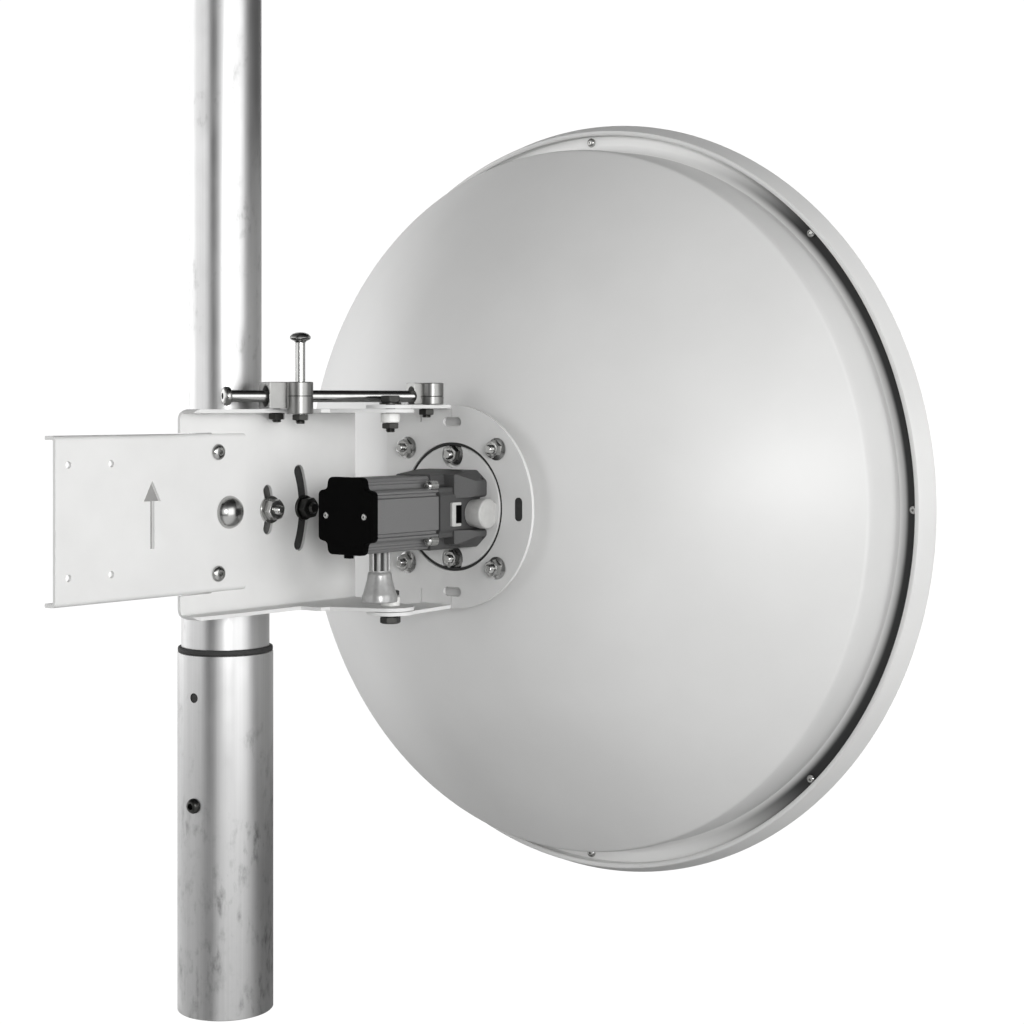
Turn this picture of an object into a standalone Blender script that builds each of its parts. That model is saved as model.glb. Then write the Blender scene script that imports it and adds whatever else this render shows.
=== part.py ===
"""Microwave dish antenna on a telescopic mast, in metres with +Z up.

The dish looks along +Y. The mast stands on the plane z = 0, and the world's origin lies in the
middle of the mast wall's end face, on the side away from the dish. +X points to the radio's
side of the mast. A clamp holds the bracket on the mast's upper pipe. The bracket tilts about
the inner clamp bolt, and the hub plate with the dish and the radio swivels on two upright
bolts, driven by a slanting threaded rod between two swivelling blocks.
"""
import math

import bmesh
import bpy
from mathutils import Matrix, Vector

# Clearances
GAP = 0.0003
BOLT_PLAY = 0.0006

# Mast
LOWER_RADIUS = 0.0400
MIDDLE_RADIUS = 0.0368
UPPER_RADIUS = 0.03015
PIPE_WALL = 0.0029
LOWER_TOP = 0.300
MIDDLE_BOTTOM = 0.060
MIDDLE_TOP = 0.363
UPPER_BOTTOM = 0.240
MAST_TOP = 0.900
MAST_Y = LOWER_RADIUS - PIPE_WALL / 2
LOCK_SCREW_Z = 0.176
SPARE_HOLE_Z = 0.265
LOCK_SCREW_TURN = 7.0

# Bracket, measured from the mast's axis in X and Y and from the dish axis in Z
AXIS_Z = 0.420
SHEET = 0.003
PLATE_X = 0.042
PLATE_BACK = -0.090
PLATE_FRONT = 0.111
FLANGE_HEIGHT = 0.0835
PIVOT_Y = -0.0405
OUTER_BOLT_Y = 0.0475
STUD_Y = 0.0080
SLOT_WIDTH = 0.0096
ARM_BACK = -0.2145
ARM_FRONT = -0.022
ARM_HALF_HEIGHT = 0.064
ARM_LIP = 0.0095
ARM_SCREW_Y = -0.053
ARM_SCREW_HEIGHT = 0.049
SADDLE_HALF_HEIGHT = 0.036
SADDLE_HALF_WIDTH = 0.0585

# Azimuth swivel and its adjusting rod, from the mast's axis in X and Y
SWIVEL = Vector((0.122, 0.072))
NOSE_RADIUS = 0.020
HUB_FLANGE_HEIGHT = 0.087
HUB_PLATE_Y = 0.137
HUB_HOLE_RADIUS = 0.055
ROD_START = Vector((0.066, 0.0))
ROD_END = Vector((0.121, 0.1185))
ROD_Z = 0.5142
ROD_RADIUS = 0.005
REAR_PIVOT_OFFSET = 0.010

# Dish and radio, along the boresight from the mast's axis
DISH_X = 0.134
DISH_Y = 0.1455
DISH_FOUR_F = 0.7317
DISH_RADIUS = 0.3165
DISH_SHEET = 0.002
CASTING_RECESS = -0.0035
FLANGE_Y = 0.338
RING_BACK = 0.3275
RING_BACK_RADIUS = 0.3405
RING_FRONT = 0.348
RING_FRONT_RADIUS = 0.3475
RING_WALL = 0.0018
RADIO_BACK = 0.005
RADIO_JOINT = 0.0865
RADIO_Z = AXIS_Z - 0.0023
RADIO_HALF_HEIGHT = 0.0312

# Finishes: sRGB-like grey level, roughness and metallic value
ZINC = (0.55, 0.35, 1.0)
STEEL = (0.42, 0.30, 1.0)
WHITE_COAT = (0.78, 0.45, 0.0)
NYLON = (0.80, 0.50, 0.0)
RUBBER = (0.02, 0.80, 0.0)
GREY_CAST = (0.16, 0.50, 0.3)
BLACK_PLASTIC = (0.01, 0.50, 0.0)

# Local axes of a turned or flat piece, as world directions
UPRIGHT = Matrix.Identity(3)
ALONG_X = Matrix(((0, 0, 1), (1, 0, 0), (0, 1, 0)))
ALONG_Y = Matrix(((0, 1, 0), (0, 0, 1), (1, 0, 0)))


def start_clean():
    """Empty the scene and make one collection for the parts and one for the cutters."""
    for old in list(bpy.data.objects):
        bpy.data.objects.remove(old)
    made = []
    for name in ("dish_antenna", "cutters"):
        collection = bpy.data.collections.new(name)
        bpy.context.scene.collection.children.link(collection)
        made.append(collection)
    return made


PARTS, CUTTERS = start_clean()


def mast_place(x, y, z):
    """A point given from the mast's axis, as a world position."""
    return Vector((x, y + MAST_Y, z))


def finish_piece(piece, finish):
    """Give a piece its own material and put it in the parts' collection."""
    grey, roughness, metallic = finish
    material = bpy.data.materials.new(piece.name + "_finish")
    material.use_nodes = True
    shader = material.node_tree.nodes["Principled BSDF"]
    shader.inputs["Base Color"].default_value = (grey, grey, grey, 1.0)
    shader.inputs["Roughness"].default_value = roughness
    shader.inputs["Metallic"].default_value = metallic
    piece.data.materials.append(material)
    PARTS.objects.link(piece)
    return piece


def as_cutter(piece):
    """Keep a shape only as the tool of a Boolean."""
    CUTTERS.objects.link(piece)
    piece.hide_render = True
    piece.display_type = "WIRE"
    return piece


def place(piece, axes, origin):
    """Turn a piece's local axes to the given world axes and move it to its origin."""
    piece.matrix_world = Matrix.Translation(origin) @ axes.to_4x4()
    return piece


def boolean(piece, tool, operation):
    """Cut or join a piece with a tool that stays live in the cutters' collection."""
    modifier = piece.modifiers.new(operation.lower() + "_" + tool.name, "BOOLEAN")
    modifier.operation = operation
    modifier.solver = "EXACT"
    modifier.object = tool
    return piece


def cut(piece, tool):
    """Take a tool's shape out of a piece."""
    return boolean(piece, as_cutter(tool), "DIFFERENCE")


def join(piece, tool):
    """Fuse a tool's shape with a piece."""
    return boolean(piece, as_cutter(tool), "UNION")


def as_mesh(raw, name):
    """Replace a curve or a live profile by a welded, smooth mesh object."""
    bpy.context.scene.collection.objects.link(raw)
    bpy.context.view_layer.update()
    evaluated = raw.evaluated_get(bpy.context.evaluated_depsgraph_get())
    mesh = bpy.data.meshes.new_from_object(evaluated)
    bpy.data.objects.remove(raw)
    shape = bmesh.new()
    shape.from_mesh(mesh)
    bmesh.ops.remove_doubles(shape, verts=shape.verts, dist=0.00001)
    bmesh.ops.recalc_face_normals(shape, faces=shape.faces)
    shape.to_mesh(mesh)
    shape.free()
    mesh.shade_smooth()
    mesh.set_sharp_from_angle(angle=math.radians(30))
    mesh.name = name
    return bpy.data.objects.new(name, mesh)


def turned(name, profile, axes, origin, steps=24, ring=False):
    """Turn a profile of (radius, height) points, given down its outer side."""
    mesh = bpy.data.meshes.new(name + "_profile")
    points = [(radius, 0.0, height) for radius, height in profile]
    edges = [(i, i + 1) for i in range(len(points) - 1)]
    if ring:
        edges.append((len(points) - 1, 0))
    mesh.from_pydata(points, edges, [])
    raw = bpy.data.objects.new(name + "_profile", mesh)
    screw = raw.modifiers.new("turn", "SCREW")
    screw.steps = steps
    screw.render_steps = steps
    screw.use_merge_vertices = True
    screw.merge_threshold = 0.00001
    return place(as_mesh(raw, name), axes, origin)


def rod(name, radius, low, high, axes, origin, steps=16):
    """A plain round bar from height low to height high on its axis."""
    profile = [(0.0, high), (radius, high), (radius, low), (0.0, low)]
    return turned(name, profile, axes, origin, steps)


def tube(name, outer, inner, low, high, axes, origin, steps=48):
    """A round tube or ring with square ends."""
    profile = [(outer, high), (outer, low), (inner, low), (inner, high)]
    return turned(name, profile, axes, origin, steps, ring=True)


def hexagon(name, across_flats, low, high, axes, origin):
    """A six-sided head or nut."""
    shape = bmesh.new()
    radius = across_flats / math.sqrt(3)
    bmesh.ops.create_cone(shape, cap_ends=True, segments=6, radius1=radius, radius2=radius,
                          depth=high - low)
    bmesh.ops.translate(shape, verts=shape.verts, vec=(0, 0, (low + high) / 2))
    mesh = bpy.data.meshes.new(name)
    shape.to_mesh(mesh)
    shape.free()
    return place(bpy.data.objects.new(name, mesh), axes, origin)


def box(name, low, high):
    """A box between two world corners."""
    shape = bmesh.new()
    bmesh.ops.create_cube(shape, size=1.0)
    low = Vector(low)
    high = Vector(high)
    bmesh.ops.scale(shape, verts=shape.verts, vec=high - low)
    bmesh.ops.translate(shape, verts=shape.verts, vec=(low + high) / 2)
    mesh = bpy.data.meshes.new(name)
    shape.to_mesh(mesh)
    shape.free()
    return bpy.data.objects.new(name, mesh)


def sheet(name, outline, thickness, axes, origin):
    """A flat outline, extruded from its plane towards its local +Z."""
    curve = bpy.data.curves.new(name + "_outline", "CURVE")
    curve.dimensions = "2D"
    curve.fill_mode = "BOTH"
    curve.extrude = thickness / 2
    spline = curve.splines.new("POLY")
    spline.points.add(len(outline) - 1)
    for point, (x, y) in zip(spline.points, outline):
        point.co = (x, y, 0.0, 1.0)
    spline.use_cyclic_u = True
    middle = Vector(origin) + axes @ Vector((0, 0, thickness / 2))
    raw = bpy.data.objects.new(name + "_outline", curve)
    return place(as_mesh(raw, name), axes, middle)


def arc(centre, radius, start, end, steps):
    """Points on an arc between two angles in degrees, both ends included."""
    turn = math.radians(end - start)
    begin = math.radians(start)
    angles = [begin + turn * i / steps for i in range(steps + 1)]
    return [(centre[0] + radius * math.cos(a), centre[1] + radius * math.sin(a)) for a in angles]


def bent_slot(centre, radius, half_angle, width):
    """Outline of a slot that follows an arc about a centre, with round ends."""
    start = math.radians(half_angle)
    ends = [(centre[0] + radius * math.cos(start), centre[1] - radius * math.sin(start)),
            (centre[0] + radius * math.cos(start), centre[1] + radius * math.sin(start))]
    outline = arc(centre, radius + width / 2, -half_angle, half_angle, 8)
    outline += arc(ends[1], width / 2, half_angle + 22, half_angle + 158, 4)
    outline += arc(centre, radius - width / 2, half_angle, -half_angle, 8)
    outline += arc(ends[0], width / 2, -half_angle - 158, -half_angle - 22, 4)
    return outline


def straight_slot(centre, length, width, upright):
    """Outline of a slot with round ends, lying or upright."""
    reach = (length - width) / 2
    outline = arc((reach, 0), width / 2, -90, 90, 6) + arc((-reach, 0), width / 2, 90, 270, 6)
    if upright:
        outline = [(-y, x) for x, y in outline]
    return [(centre[0] + x, centre[1] + y) for x, y in outline]


def joint_empty(name, origin, parent=None):
    """An empty on a joint's axis."""
    empty = bpy.data.objects.new(name, None)
    empty.matrix_world = Matrix.Translation(origin)
    PARTS.objects.link(empty)
    if parent:
        attach(empty, parent)
    return empty


def attach(piece, parent):
    """Parent a piece to an empty and leave it where it is."""
    bpy.context.view_layer.update()
    where = piece.matrix_world.copy()
    piece.parent = parent
    piece.matrix_parent_inverse = parent.matrix_world.inverted()
    piece.matrix_world = where


def make_mast():
    """Three telescoping pipes with a rubber seal, a guide bush and a locking screw."""
    foot = mast_place(0, 0, 0)
    lower = tube("mast_lower_pipe", LOWER_RADIUS, LOWER_RADIUS - PIPE_WALL, 0, LOWER_TOP,
                 UPRIGHT, foot)
    middle = tube("mast_middle_pipe", MIDDLE_RADIUS, MIDDLE_RADIUS - PIPE_WALL, MIDDLE_BOTTOM,
                  MIDDLE_TOP, UPRIGHT, foot)
    upper = tube("mast_upper_pipe", UPPER_RADIUS, UPPER_RADIUS - PIPE_WALL, UPPER_BOTTOM,
                 MAST_TOP, UPRIGHT, foot)
    screw_radius = 0.004
    turn = Matrix.Rotation(math.radians(LOCK_SCREW_TURN), 3, "Z")
    wall = turn @ Vector((0, -LOWER_RADIUS, 0))
    wall_side = mast_place(wall.x, wall.y, LOCK_SCREW_Z)
    inward = turn @ ALONG_Y
    depth = 0.012
    for number, pipe in enumerate((lower, middle)):
        hole = rod(f"lock_screw_hole_{number}", screw_radius + BOLT_PLAY, -0.005, depth,
                   inward, wall_side)
        cut(pipe, hole)
    spare = rod("spare_hole", screw_radius, -0.005, PIPE_WALL + 0.002, inward,
                mast_place(wall.x, wall.y, SPARE_HOLE_Z))
    cut(lower, spare)
    finish_piece(lower, ZINC)
    finish_piece(middle, ZINC)
    finish_piece(upper, ZINC)

    seal = tube("mast_seal_ring", LOWER_RADIUS - GAP, MIDDLE_RADIUS + GAP, LOWER_TOP + GAP,
                LOWER_TOP + 0.0045, UPRIGHT, foot)
    finish_piece(seal, RUBBER)

    lip = 0.004
    sleeve = 0.030
    outer = MIDDLE_RADIUS - PIPE_WALL - GAP
    inner = UPPER_RADIUS + GAP
    profile = [(MIDDLE_RADIUS, MIDDLE_TOP + lip), (MIDDLE_RADIUS, MIDDLE_TOP + GAP),
               (outer, MIDDLE_TOP + GAP), (outer, MIDDLE_TOP - sleeve),
               (inner, MIDDLE_TOP - sleeve), (inner, MIDDLE_TOP + lip)]
    bush = turned("mast_bush", profile, UPRIGHT, foot, 48, ring=True)
    finish_piece(bush, BLACK_PLASTIC)

    head = [(0.0, depth), (screw_radius, depth), (screw_radius, -GAP), (0.0065, -GAP),
            (0.0065, -0.0035), (0.0045, -0.0055), (0.0, -0.0055)]
    locking = turned("mast_locking_screw", head, inward, wall_side, 16)
    finish_piece(locking, STEEL)


def saddle(name, side, half_width):
    """Half of the mast clamp, hollowed to the pipe, on the +X or the -X side."""
    outer = PLATE_X - GAP
    inner = 0.012
    seat = UPPER_RADIUS + GAP
    reach = math.degrees(math.acos(inner / seat))
    outline = [(outer, -half_width), (outer, half_width), (inner, half_width)]
    outline += arc((0, 0), seat, reach, -reach, 12)
    outline.append((inner, -half_width))
    outline = [(side * x, y) for x, y in outline]
    block = sheet(name, outline, 2 * SADDLE_HALF_HEIGHT, UPRIGHT,
                  mast_place(0, 0, AXIS_Z - SADDLE_HALF_HEIGHT))
    for label, y in (("inner", PIVOT_Y), ("outer", OUTER_BOLT_Y)):
        hole = rod(f"{name}_{label}_hole", 0.005 + BOLT_PLAY, -0.06, 0.06, ALONG_X,
                   mast_place(0, y, AXIS_Z))
        cut(block, hole)
    return block


def clamp_bolt(name, y, head_profile, head_flats, seat_x):
    """A through bolt along X: its head on the bracket's side and its nut behind the clamp."""
    centre = mast_place(0, y, AXIS_Z)
    tail = -PLATE_X - 0.016
    nut_face = -PLATE_X
    profile = [(r, seat_x + h) for r, h in head_profile]
    profile += [(0.005, seat_x), (0.005, tail), (0.0, tail)]
    bolt = turned(name, profile, ALONG_X, centre, 24)
    nut = hexagon(name + "_nut", 0.017, nut_face - 0.010, nut_face, ALONG_X, centre)
    join(bolt, nut)
    if head_flats:
        head = hexagon(name + "_head", head_flats, seat_x + 0.002, seat_x + 0.0095, ALONG_X,
                       centre)
        join(bolt, head)
    return finish_piece(bolt, STEEL)


def make_clamp():
    """The two saddles, the bolts through them and the stud of the inner slot."""
    near = saddle("clamp_near_saddle", 1, SADDLE_HALF_WIDTH)
    stud_hole = rod("stud_hole", 0.004 + BOLT_PLAY, 0.0325, 0.050, ALONG_X,
                    mast_place(0, STUD_Y, AXIS_Z))
    cut(near, stud_hole)
    finish_piece(near, ZINC)
    finish_piece(saddle("clamp_far_saddle", -1, SADDLE_HALF_WIDTH), ZINC)

    plate_face = PLATE_X + SHEET + GAP
    arm_face = plate_face + SHEET + GAP
    dome = [(0.0, 0.0095), (0.004, 0.0091), (0.0075, 0.0075), (0.0098, 0.0045), (0.0105, 0.002),
            (0.0135, 0.002), (0.0135, 0.0)]
    clamp_bolt("elevation_pivot_bolt", PIVOT_Y, dome, 0, arm_face)
    washer = [(0.0, 0.013), (0.005, 0.013), (0.005, 0.002), (0.0105, 0.002), (0.0105, 0.0)]
    clamp_bolt("clamp_outer_bolt", OUTER_BOLT_Y, washer, 0.016, plate_face)

    centre = mast_place(0, STUD_Y, AXIS_Z)
    low = 0.0328
    profile = [(0.0, plate_face + 0.014), (0.004, plate_face + 0.014),
               (0.004, plate_face + 0.002), (0.0115, plate_face + 0.002), (0.0115, plate_face),
               (0.004, plate_face), (0.004, low), (0.0, low)]
    stud = turned("elevation_lock_stud", profile, ALONG_X, centre, 24)
    join(stud, hexagon("stud_nut", 0.013, plate_face + 0.001, plate_face + 0.0085, ALONG_X,
                       centre))
    finish_piece(stud, STEEL)


def side_flange_outline():
    """Plan of the side plate's bent flange, out to the nose round the swivel bolt."""
    outline = [(PLATE_X, PLATE_BACK), (0.056, PLATE_BACK), (0.062, PLATE_BACK + 0.006)]
    outline += [(0.064, -0.040), (0.064, 0.026), (0.085, 0.026), (0.087, 0.036)]
    outline += arc(SWIVEL, NOSE_RADIUS, -73, 62, 8)
    outline += [(0.060, PLATE_FRONT), (PLATE_X, PLATE_FRONT)]
    return outline


def make_side_plate():
    """The bracket's side plate: a web with two bent flanges, arc slots and slits."""
    web_height = FLANGE_HEIGHT - SHEET / 2
    corner = 0.012
    outline = [(PLATE_FRONT, -web_height), (PLATE_FRONT, web_height)]
    outline += arc((PLATE_BACK + corner, web_height - corner), corner, 90, 180, 4)
    outline += arc((PLATE_BACK + corner, corner - web_height), corner, 180, 270, 4)
    centre = mast_place(0, 0, AXIS_Z)
    plate = sheet("side_plate", outline, SHEET, ALONG_X, centre + Vector((PLATE_X, 0, 0)))
    for label, height in (("upper", FLANGE_HEIGHT - SHEET), ("lower", -FLANGE_HEIGHT)):
        flange = sheet(f"side_plate_{label}_flange", side_flange_outline(), SHEET, UPRIGHT,
                       centre + Vector((0, 0, height)))
        join(plate, flange)
    near = PLATE_X - 0.002
    depth = SHEET + 0.004
    base = centre + Vector((near, 0, 0))
    pivot = (PIVOT_Y, 0.0)
    cut(plate, sheet("inner_arc_slot", bent_slot(pivot, STUD_Y - PIVOT_Y, 19, SLOT_WIDTH),
                     depth, ALONG_X, base))
    cut(plate, sheet("outer_arc_slot",
                     bent_slot(pivot, OUTER_BOLT_Y - PIVOT_Y, 20.5, SLOT_WIDTH + 0.0015),
                     depth, ALONG_X, base))
    cut(plate, rod("plate_pivot_hole", 0.005 + BOLT_PLAY, 0, depth, ALONG_X,
                   base + Vector((0, PIVOT_Y, 0))))
    slit_end = -0.0555
    for label, side in (("upper", 1), ("lower", -1)):
        level = AXIS_Z + side * (ARM_HALF_HEIGHT - SHEET / 2)
        low = mast_place(PLATE_X - 0.001, PLATE_BACK - 0.002, level - 0.0022)
        high = mast_place(PLATE_X + SHEET + 0.001, slit_end, level + 0.0022)
        cut(plate, box(f"{label}_slit", low, high))
        cut(plate, rod(f"{label}_screw_hole", 0.003 + BOLT_PLAY, 0, depth, ALONG_X,
                       base + Vector((0, ARM_SCREW_Y, side * ARM_SCREW_HEIGHT))))
        cut(plate, rod(f"{label}_swivel_hole", 0.004 + BOLT_PLAY, -0.01, 0.01, UPRIGHT,
                       mast_place(SWIVEL.x, SWIVEL.y, AXIS_Z + side * FLANGE_HEIGHT)))
    pivot_pin = rear_block_pivot()
    cut(plate, rod("rear_pin_hole", 0.004 + BOLT_PLAY, -0.01, 0.01, UPRIGHT,
                   mast_place(pivot_pin.x, pivot_pin.y, AXIS_Z + FLANGE_HEIGHT)))
    return finish_piece(plate, WHITE_COAT)


def arrow_outline(y, low, high):
    """An upright arrow cut through the arm, which marks its upper edge."""
    shaft = 0.002
    head = 0.0085
    neck = high - 0.016
    return [(y - shaft, low), (y + shaft, low), (y + shaft, neck), (y + head, neck), (y, high),
            (y - head, neck), (y - shaft, neck)]


def make_arm():
    """The channel that reaches back past the mast, and the two screws that hold it."""
    face = PLATE_X + SHEET + GAP
    low = mast_place(face, ARM_BACK, AXIS_Z - ARM_HALF_HEIGHT)
    high = mast_place(face + SHEET, ARM_FRONT, AXIS_Z + ARM_HALF_HEIGHT)
    arm = box("arm_plate", low, high)
    lip_front = -0.058
    for label, side in (("upper", 1), ("lower", -1)):
        level = AXIS_Z + side * (ARM_HALF_HEIGHT - SHEET / 2)
        low = mast_place(face - ARM_LIP, ARM_BACK, level - SHEET / 2)
        high = mast_place(face + SHEET / 2, lip_front, level + SHEET / 2)
        join(arm, box(f"arm_{label}_lip", low, high))
    base = mast_place(face - 0.002, 0, AXIS_Z)
    depth = SHEET + 0.004
    for number, y in enumerate((-0.2025, -0.162)):
        for label, side in (("upper", 1), ("lower", -1)):
            cut(arm, rod(f"arm_{label}_hole_{number}", 0.0027, 0, depth, ALONG_X,
                         base + Vector((0, y, side * 0.0422)), 12))
    cut(arm, sheet("arrow_cut", arrow_outline(-0.1214, -0.025, 0.028), depth, ALONG_X, base))
    cut(arm, rod("arm_pivot_hole", 0.005 + BOLT_PLAY, 0, depth, ALONG_X,
                 base + Vector((0, PIVOT_Y, 0))))
    head_face = face + SHEET + GAP
    pieces = []
    for label, side in (("upper", 1), ("lower", -1)):
        where = Vector((0, ARM_SCREW_Y, side * ARM_SCREW_HEIGHT))
        cut(arm, rod(f"arm_{label}_screw_hole", 0.003 + BOLT_PLAY, 0, depth, ALONG_X,
                     base + where))
        profile = [(0.0, head_face + 0.0035), (0.004, head_face + 0.003),
                   (0.0065, head_face + 0.001), (0.0065, head_face), (0.003, head_face),
                   (0.003, PLATE_X - GAP), (0.0055, PLATE_X - GAP),
                   (0.0055, PLATE_X - 0.0045), (0.0, PLATE_X - 0.0045)]
        screw = turned(f"arm_screw_{label}", profile, ALONG_X, mast_place(0, 0, AXIS_Z) + where,
                       16)
        pieces.append(finish_piece(screw, STEEL))
    pieces.append(finish_piece(arm, WHITE_COAT))
    return pieces


def make_swivel_bolts():
    """The two upright bolts that the hub plate swivels on, with their nylon bosses."""
    pieces = []
    inside = FLANGE_HEIGHT - SHEET - GAP
    outside = HUB_FLANGE_HEIGHT + GAP
    for label, side in (("upper", 1), ("lower", -1)):
        axes = Matrix.Diagonal((1, side, side))
        centre = mast_place(SWIVEL.x, SWIVEL.y, AXIS_Z)
        boss = tube(f"swivel_boss_{label}", 0.008, 0.004 + BOLT_PLAY, inside - 0.008, inside,
                    axes, centre, 24)
        pieces.append(finish_piece(boss, NYLON))
        tip = inside - 0.016
        profile = [(0.0, outside + 0.003), (0.0085, outside + 0.003), (0.0085, outside),
                   (0.004, outside), (0.004, inside - 0.008 - GAP),
                   (0.0065, inside - 0.008 - GAP), (0.0065, inside - 0.013),
                   (0.004, inside - 0.013), (0.004, tip), (0.0, tip)]
        bolt = turned(f"swivel_bolt_{label}", profile, axes, centre, 16)
        join(bolt, hexagon(f"swivel_head_{label}", 0.0165, outside + 0.0015, outside + 0.0075,
                           axes, centre))
        pieces.append(finish_piece(bolt, STEEL))
    return pieces


def rod_axes():
    """The rod's direction in plan and the direction square to it, towards +X."""
    along = (ROD_END - ROD_START).normalized()
    return along, Vector((along.y, -along.x))


def rear_block_pivot():
    """The rear block swivels on the flange strip behind the rod."""
    along, across = rod_axes()
    return ROD_START - across * REAR_PIVOT_OFFSET


def rod_frame():
    """World axes with the local Z along the rod and the local X square to it."""
    along, across = rod_axes()
    axes = Matrix(((across.x, 0, along.x), (across.y, 0, along.y), (0, 1, 0)))
    if axes.determinant() < 0:
        axes.col[1] = -axes.col[1]
    return axes


def block_body(name, centre, back, front, left, right, low, high):
    """A block that follows the rod, from four distances along and across it."""
    along, across = rod_axes()
    corners = [(back, left), (back, right), (front, right), (front, left)]
    outline = [tuple(centre + along * a + across * b) for a, b in corners]
    return sheet(name, outline, high - low, UPRIGHT, mast_place(0, 0, low))


def make_rear_block():
    """The swivelling block that the rod slides through, with its upright lock bolt."""
    along, across = rod_axes()
    seat = AXIS_Z + FLANGE_HEIGHT + GAP
    top = 0.5258
    block = block_body("rod_block_rear", ROD_START, -0.013, 0.008, -0.018, 0.010, seat, top)
    barrel_centre = ROD_START + along * 0.012 + across * 0.014
    barrel_foot = 0.4995
    barrel = rod("rear_barrel", 0.0105, barrel_foot, top, UPRIGHT,
                 mast_place(barrel_centre.x, barrel_centre.y, 0), 24)
    join(block, barrel)
    pivot = rear_block_pivot()
    pin_place = mast_place(pivot.x, pivot.y, 0)
    under = AXIS_Z + FLANGE_HEIGHT - SHEET - GAP
    join(block, rod("rear_pin", 0.004, under - 0.008, seat + 0.002, UPRIGHT, pin_place))
    join(block, hexagon("rear_pin_nut", 0.013, under - 0.0065, under, UPRIGHT, pin_place))
    axes = rod_frame()
    rod_centre = mast_place(ROD_START.x, ROD_START.y, ROD_Z)
    cut(block, rod("rear_rod_hole", ROD_RADIUS + 0.0012, -0.04, 0.04, axes, rod_centre, 24))
    lock_hole = rod("lock_hole", 0.004 + GAP, barrel_foot - 0.005, top + 0.005, UPRIGHT,
                    mast_place(barrel_centre.x, barrel_centre.y, 0))
    cut(block, lock_hole)
    finish_piece(block, ZINC)

    head_top = 0.5666
    lock_place = mast_place(barrel_centre.x, barrel_centre.y, 0)
    lock = rod("rod_lock_bolt", 0.004, barrel_foot - 0.009, head_top - 0.004, UPRIGHT,
               lock_place)
    join(lock, hexagon("lock_head", 0.014, head_top - 0.0075, head_top, UPRIGHT, lock_place))
    join(lock, hexagon("lock_nut", 0.013, barrel_foot - GAP - 0.0065, barrel_foot - GAP,
                       UPRIGHT, lock_place))
    finish_piece(lock, STEEL)
    return [block, lock]


def make_front_block():
    """The block on the hub plate's flange that holds the rod's end, and the rod."""
    along, across = rod_axes()
    seat = AXIS_Z + HUB_FLANGE_HEIGHT + GAP
    top = 0.5256
    block = block_body("rod_block_front", ROD_END, -0.014, 0.006, -0.011, 0.007, seat, top)
    barrel_centre = ROD_END + along * 0.002 + across * 0.008
    join(block, rod("front_barrel", 0.0095, seat, top, UPRIGHT,
                    mast_place(barrel_centre.x, barrel_centre.y, 0), 24))
    pin_place = mast_place(ROD_END.x, ROD_END.y, 0)
    under = AXIS_Z + HUB_FLANGE_HEIGHT - SHEET - GAP
    join(block, rod("front_pin", 0.004, under - 0.008, seat + 0.001, UPRIGHT, pin_place))
    join(block, hexagon("front_pin_nut", 0.013, under - 0.0065, under, UPRIGHT, pin_place))
    axes = rod_frame()
    rod_centre = mast_place(ROD_END.x, ROD_END.y, ROD_Z)
    cut(block, rod("front_rod_hole", ROD_RADIUS + GAP, -0.03, 0.003, axes, rod_centre, 24))
    finish_piece(block, ZINC)

    length = (ROD_END - ROD_START).length
    tail = -length - 0.044
    bar = rod("adjusting_rod", ROD_RADIUS, tail, 0.0027, axes, rod_centre, 24)
    join(bar, hexagon("rod_head", 0.016, tail - 0.0055, tail + 0.001, axes, rod_centre))
    finish_piece(bar, STEEL)
    return [bar, block]


def hub_flange_outline():
    """Plan of the hub plate's bent flange, with its round nose on the swivel bolt."""
    outline = [(0.132, HUB_PLATE_Y + SHEET / 2), (0.099, HUB_PLATE_Y + SHEET / 2)]
    outline += [(0.099, 0.085)]
    outline += arc(SWIVEL, NOSE_RADIUS, 165, 390, 12)
    return outline


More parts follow.
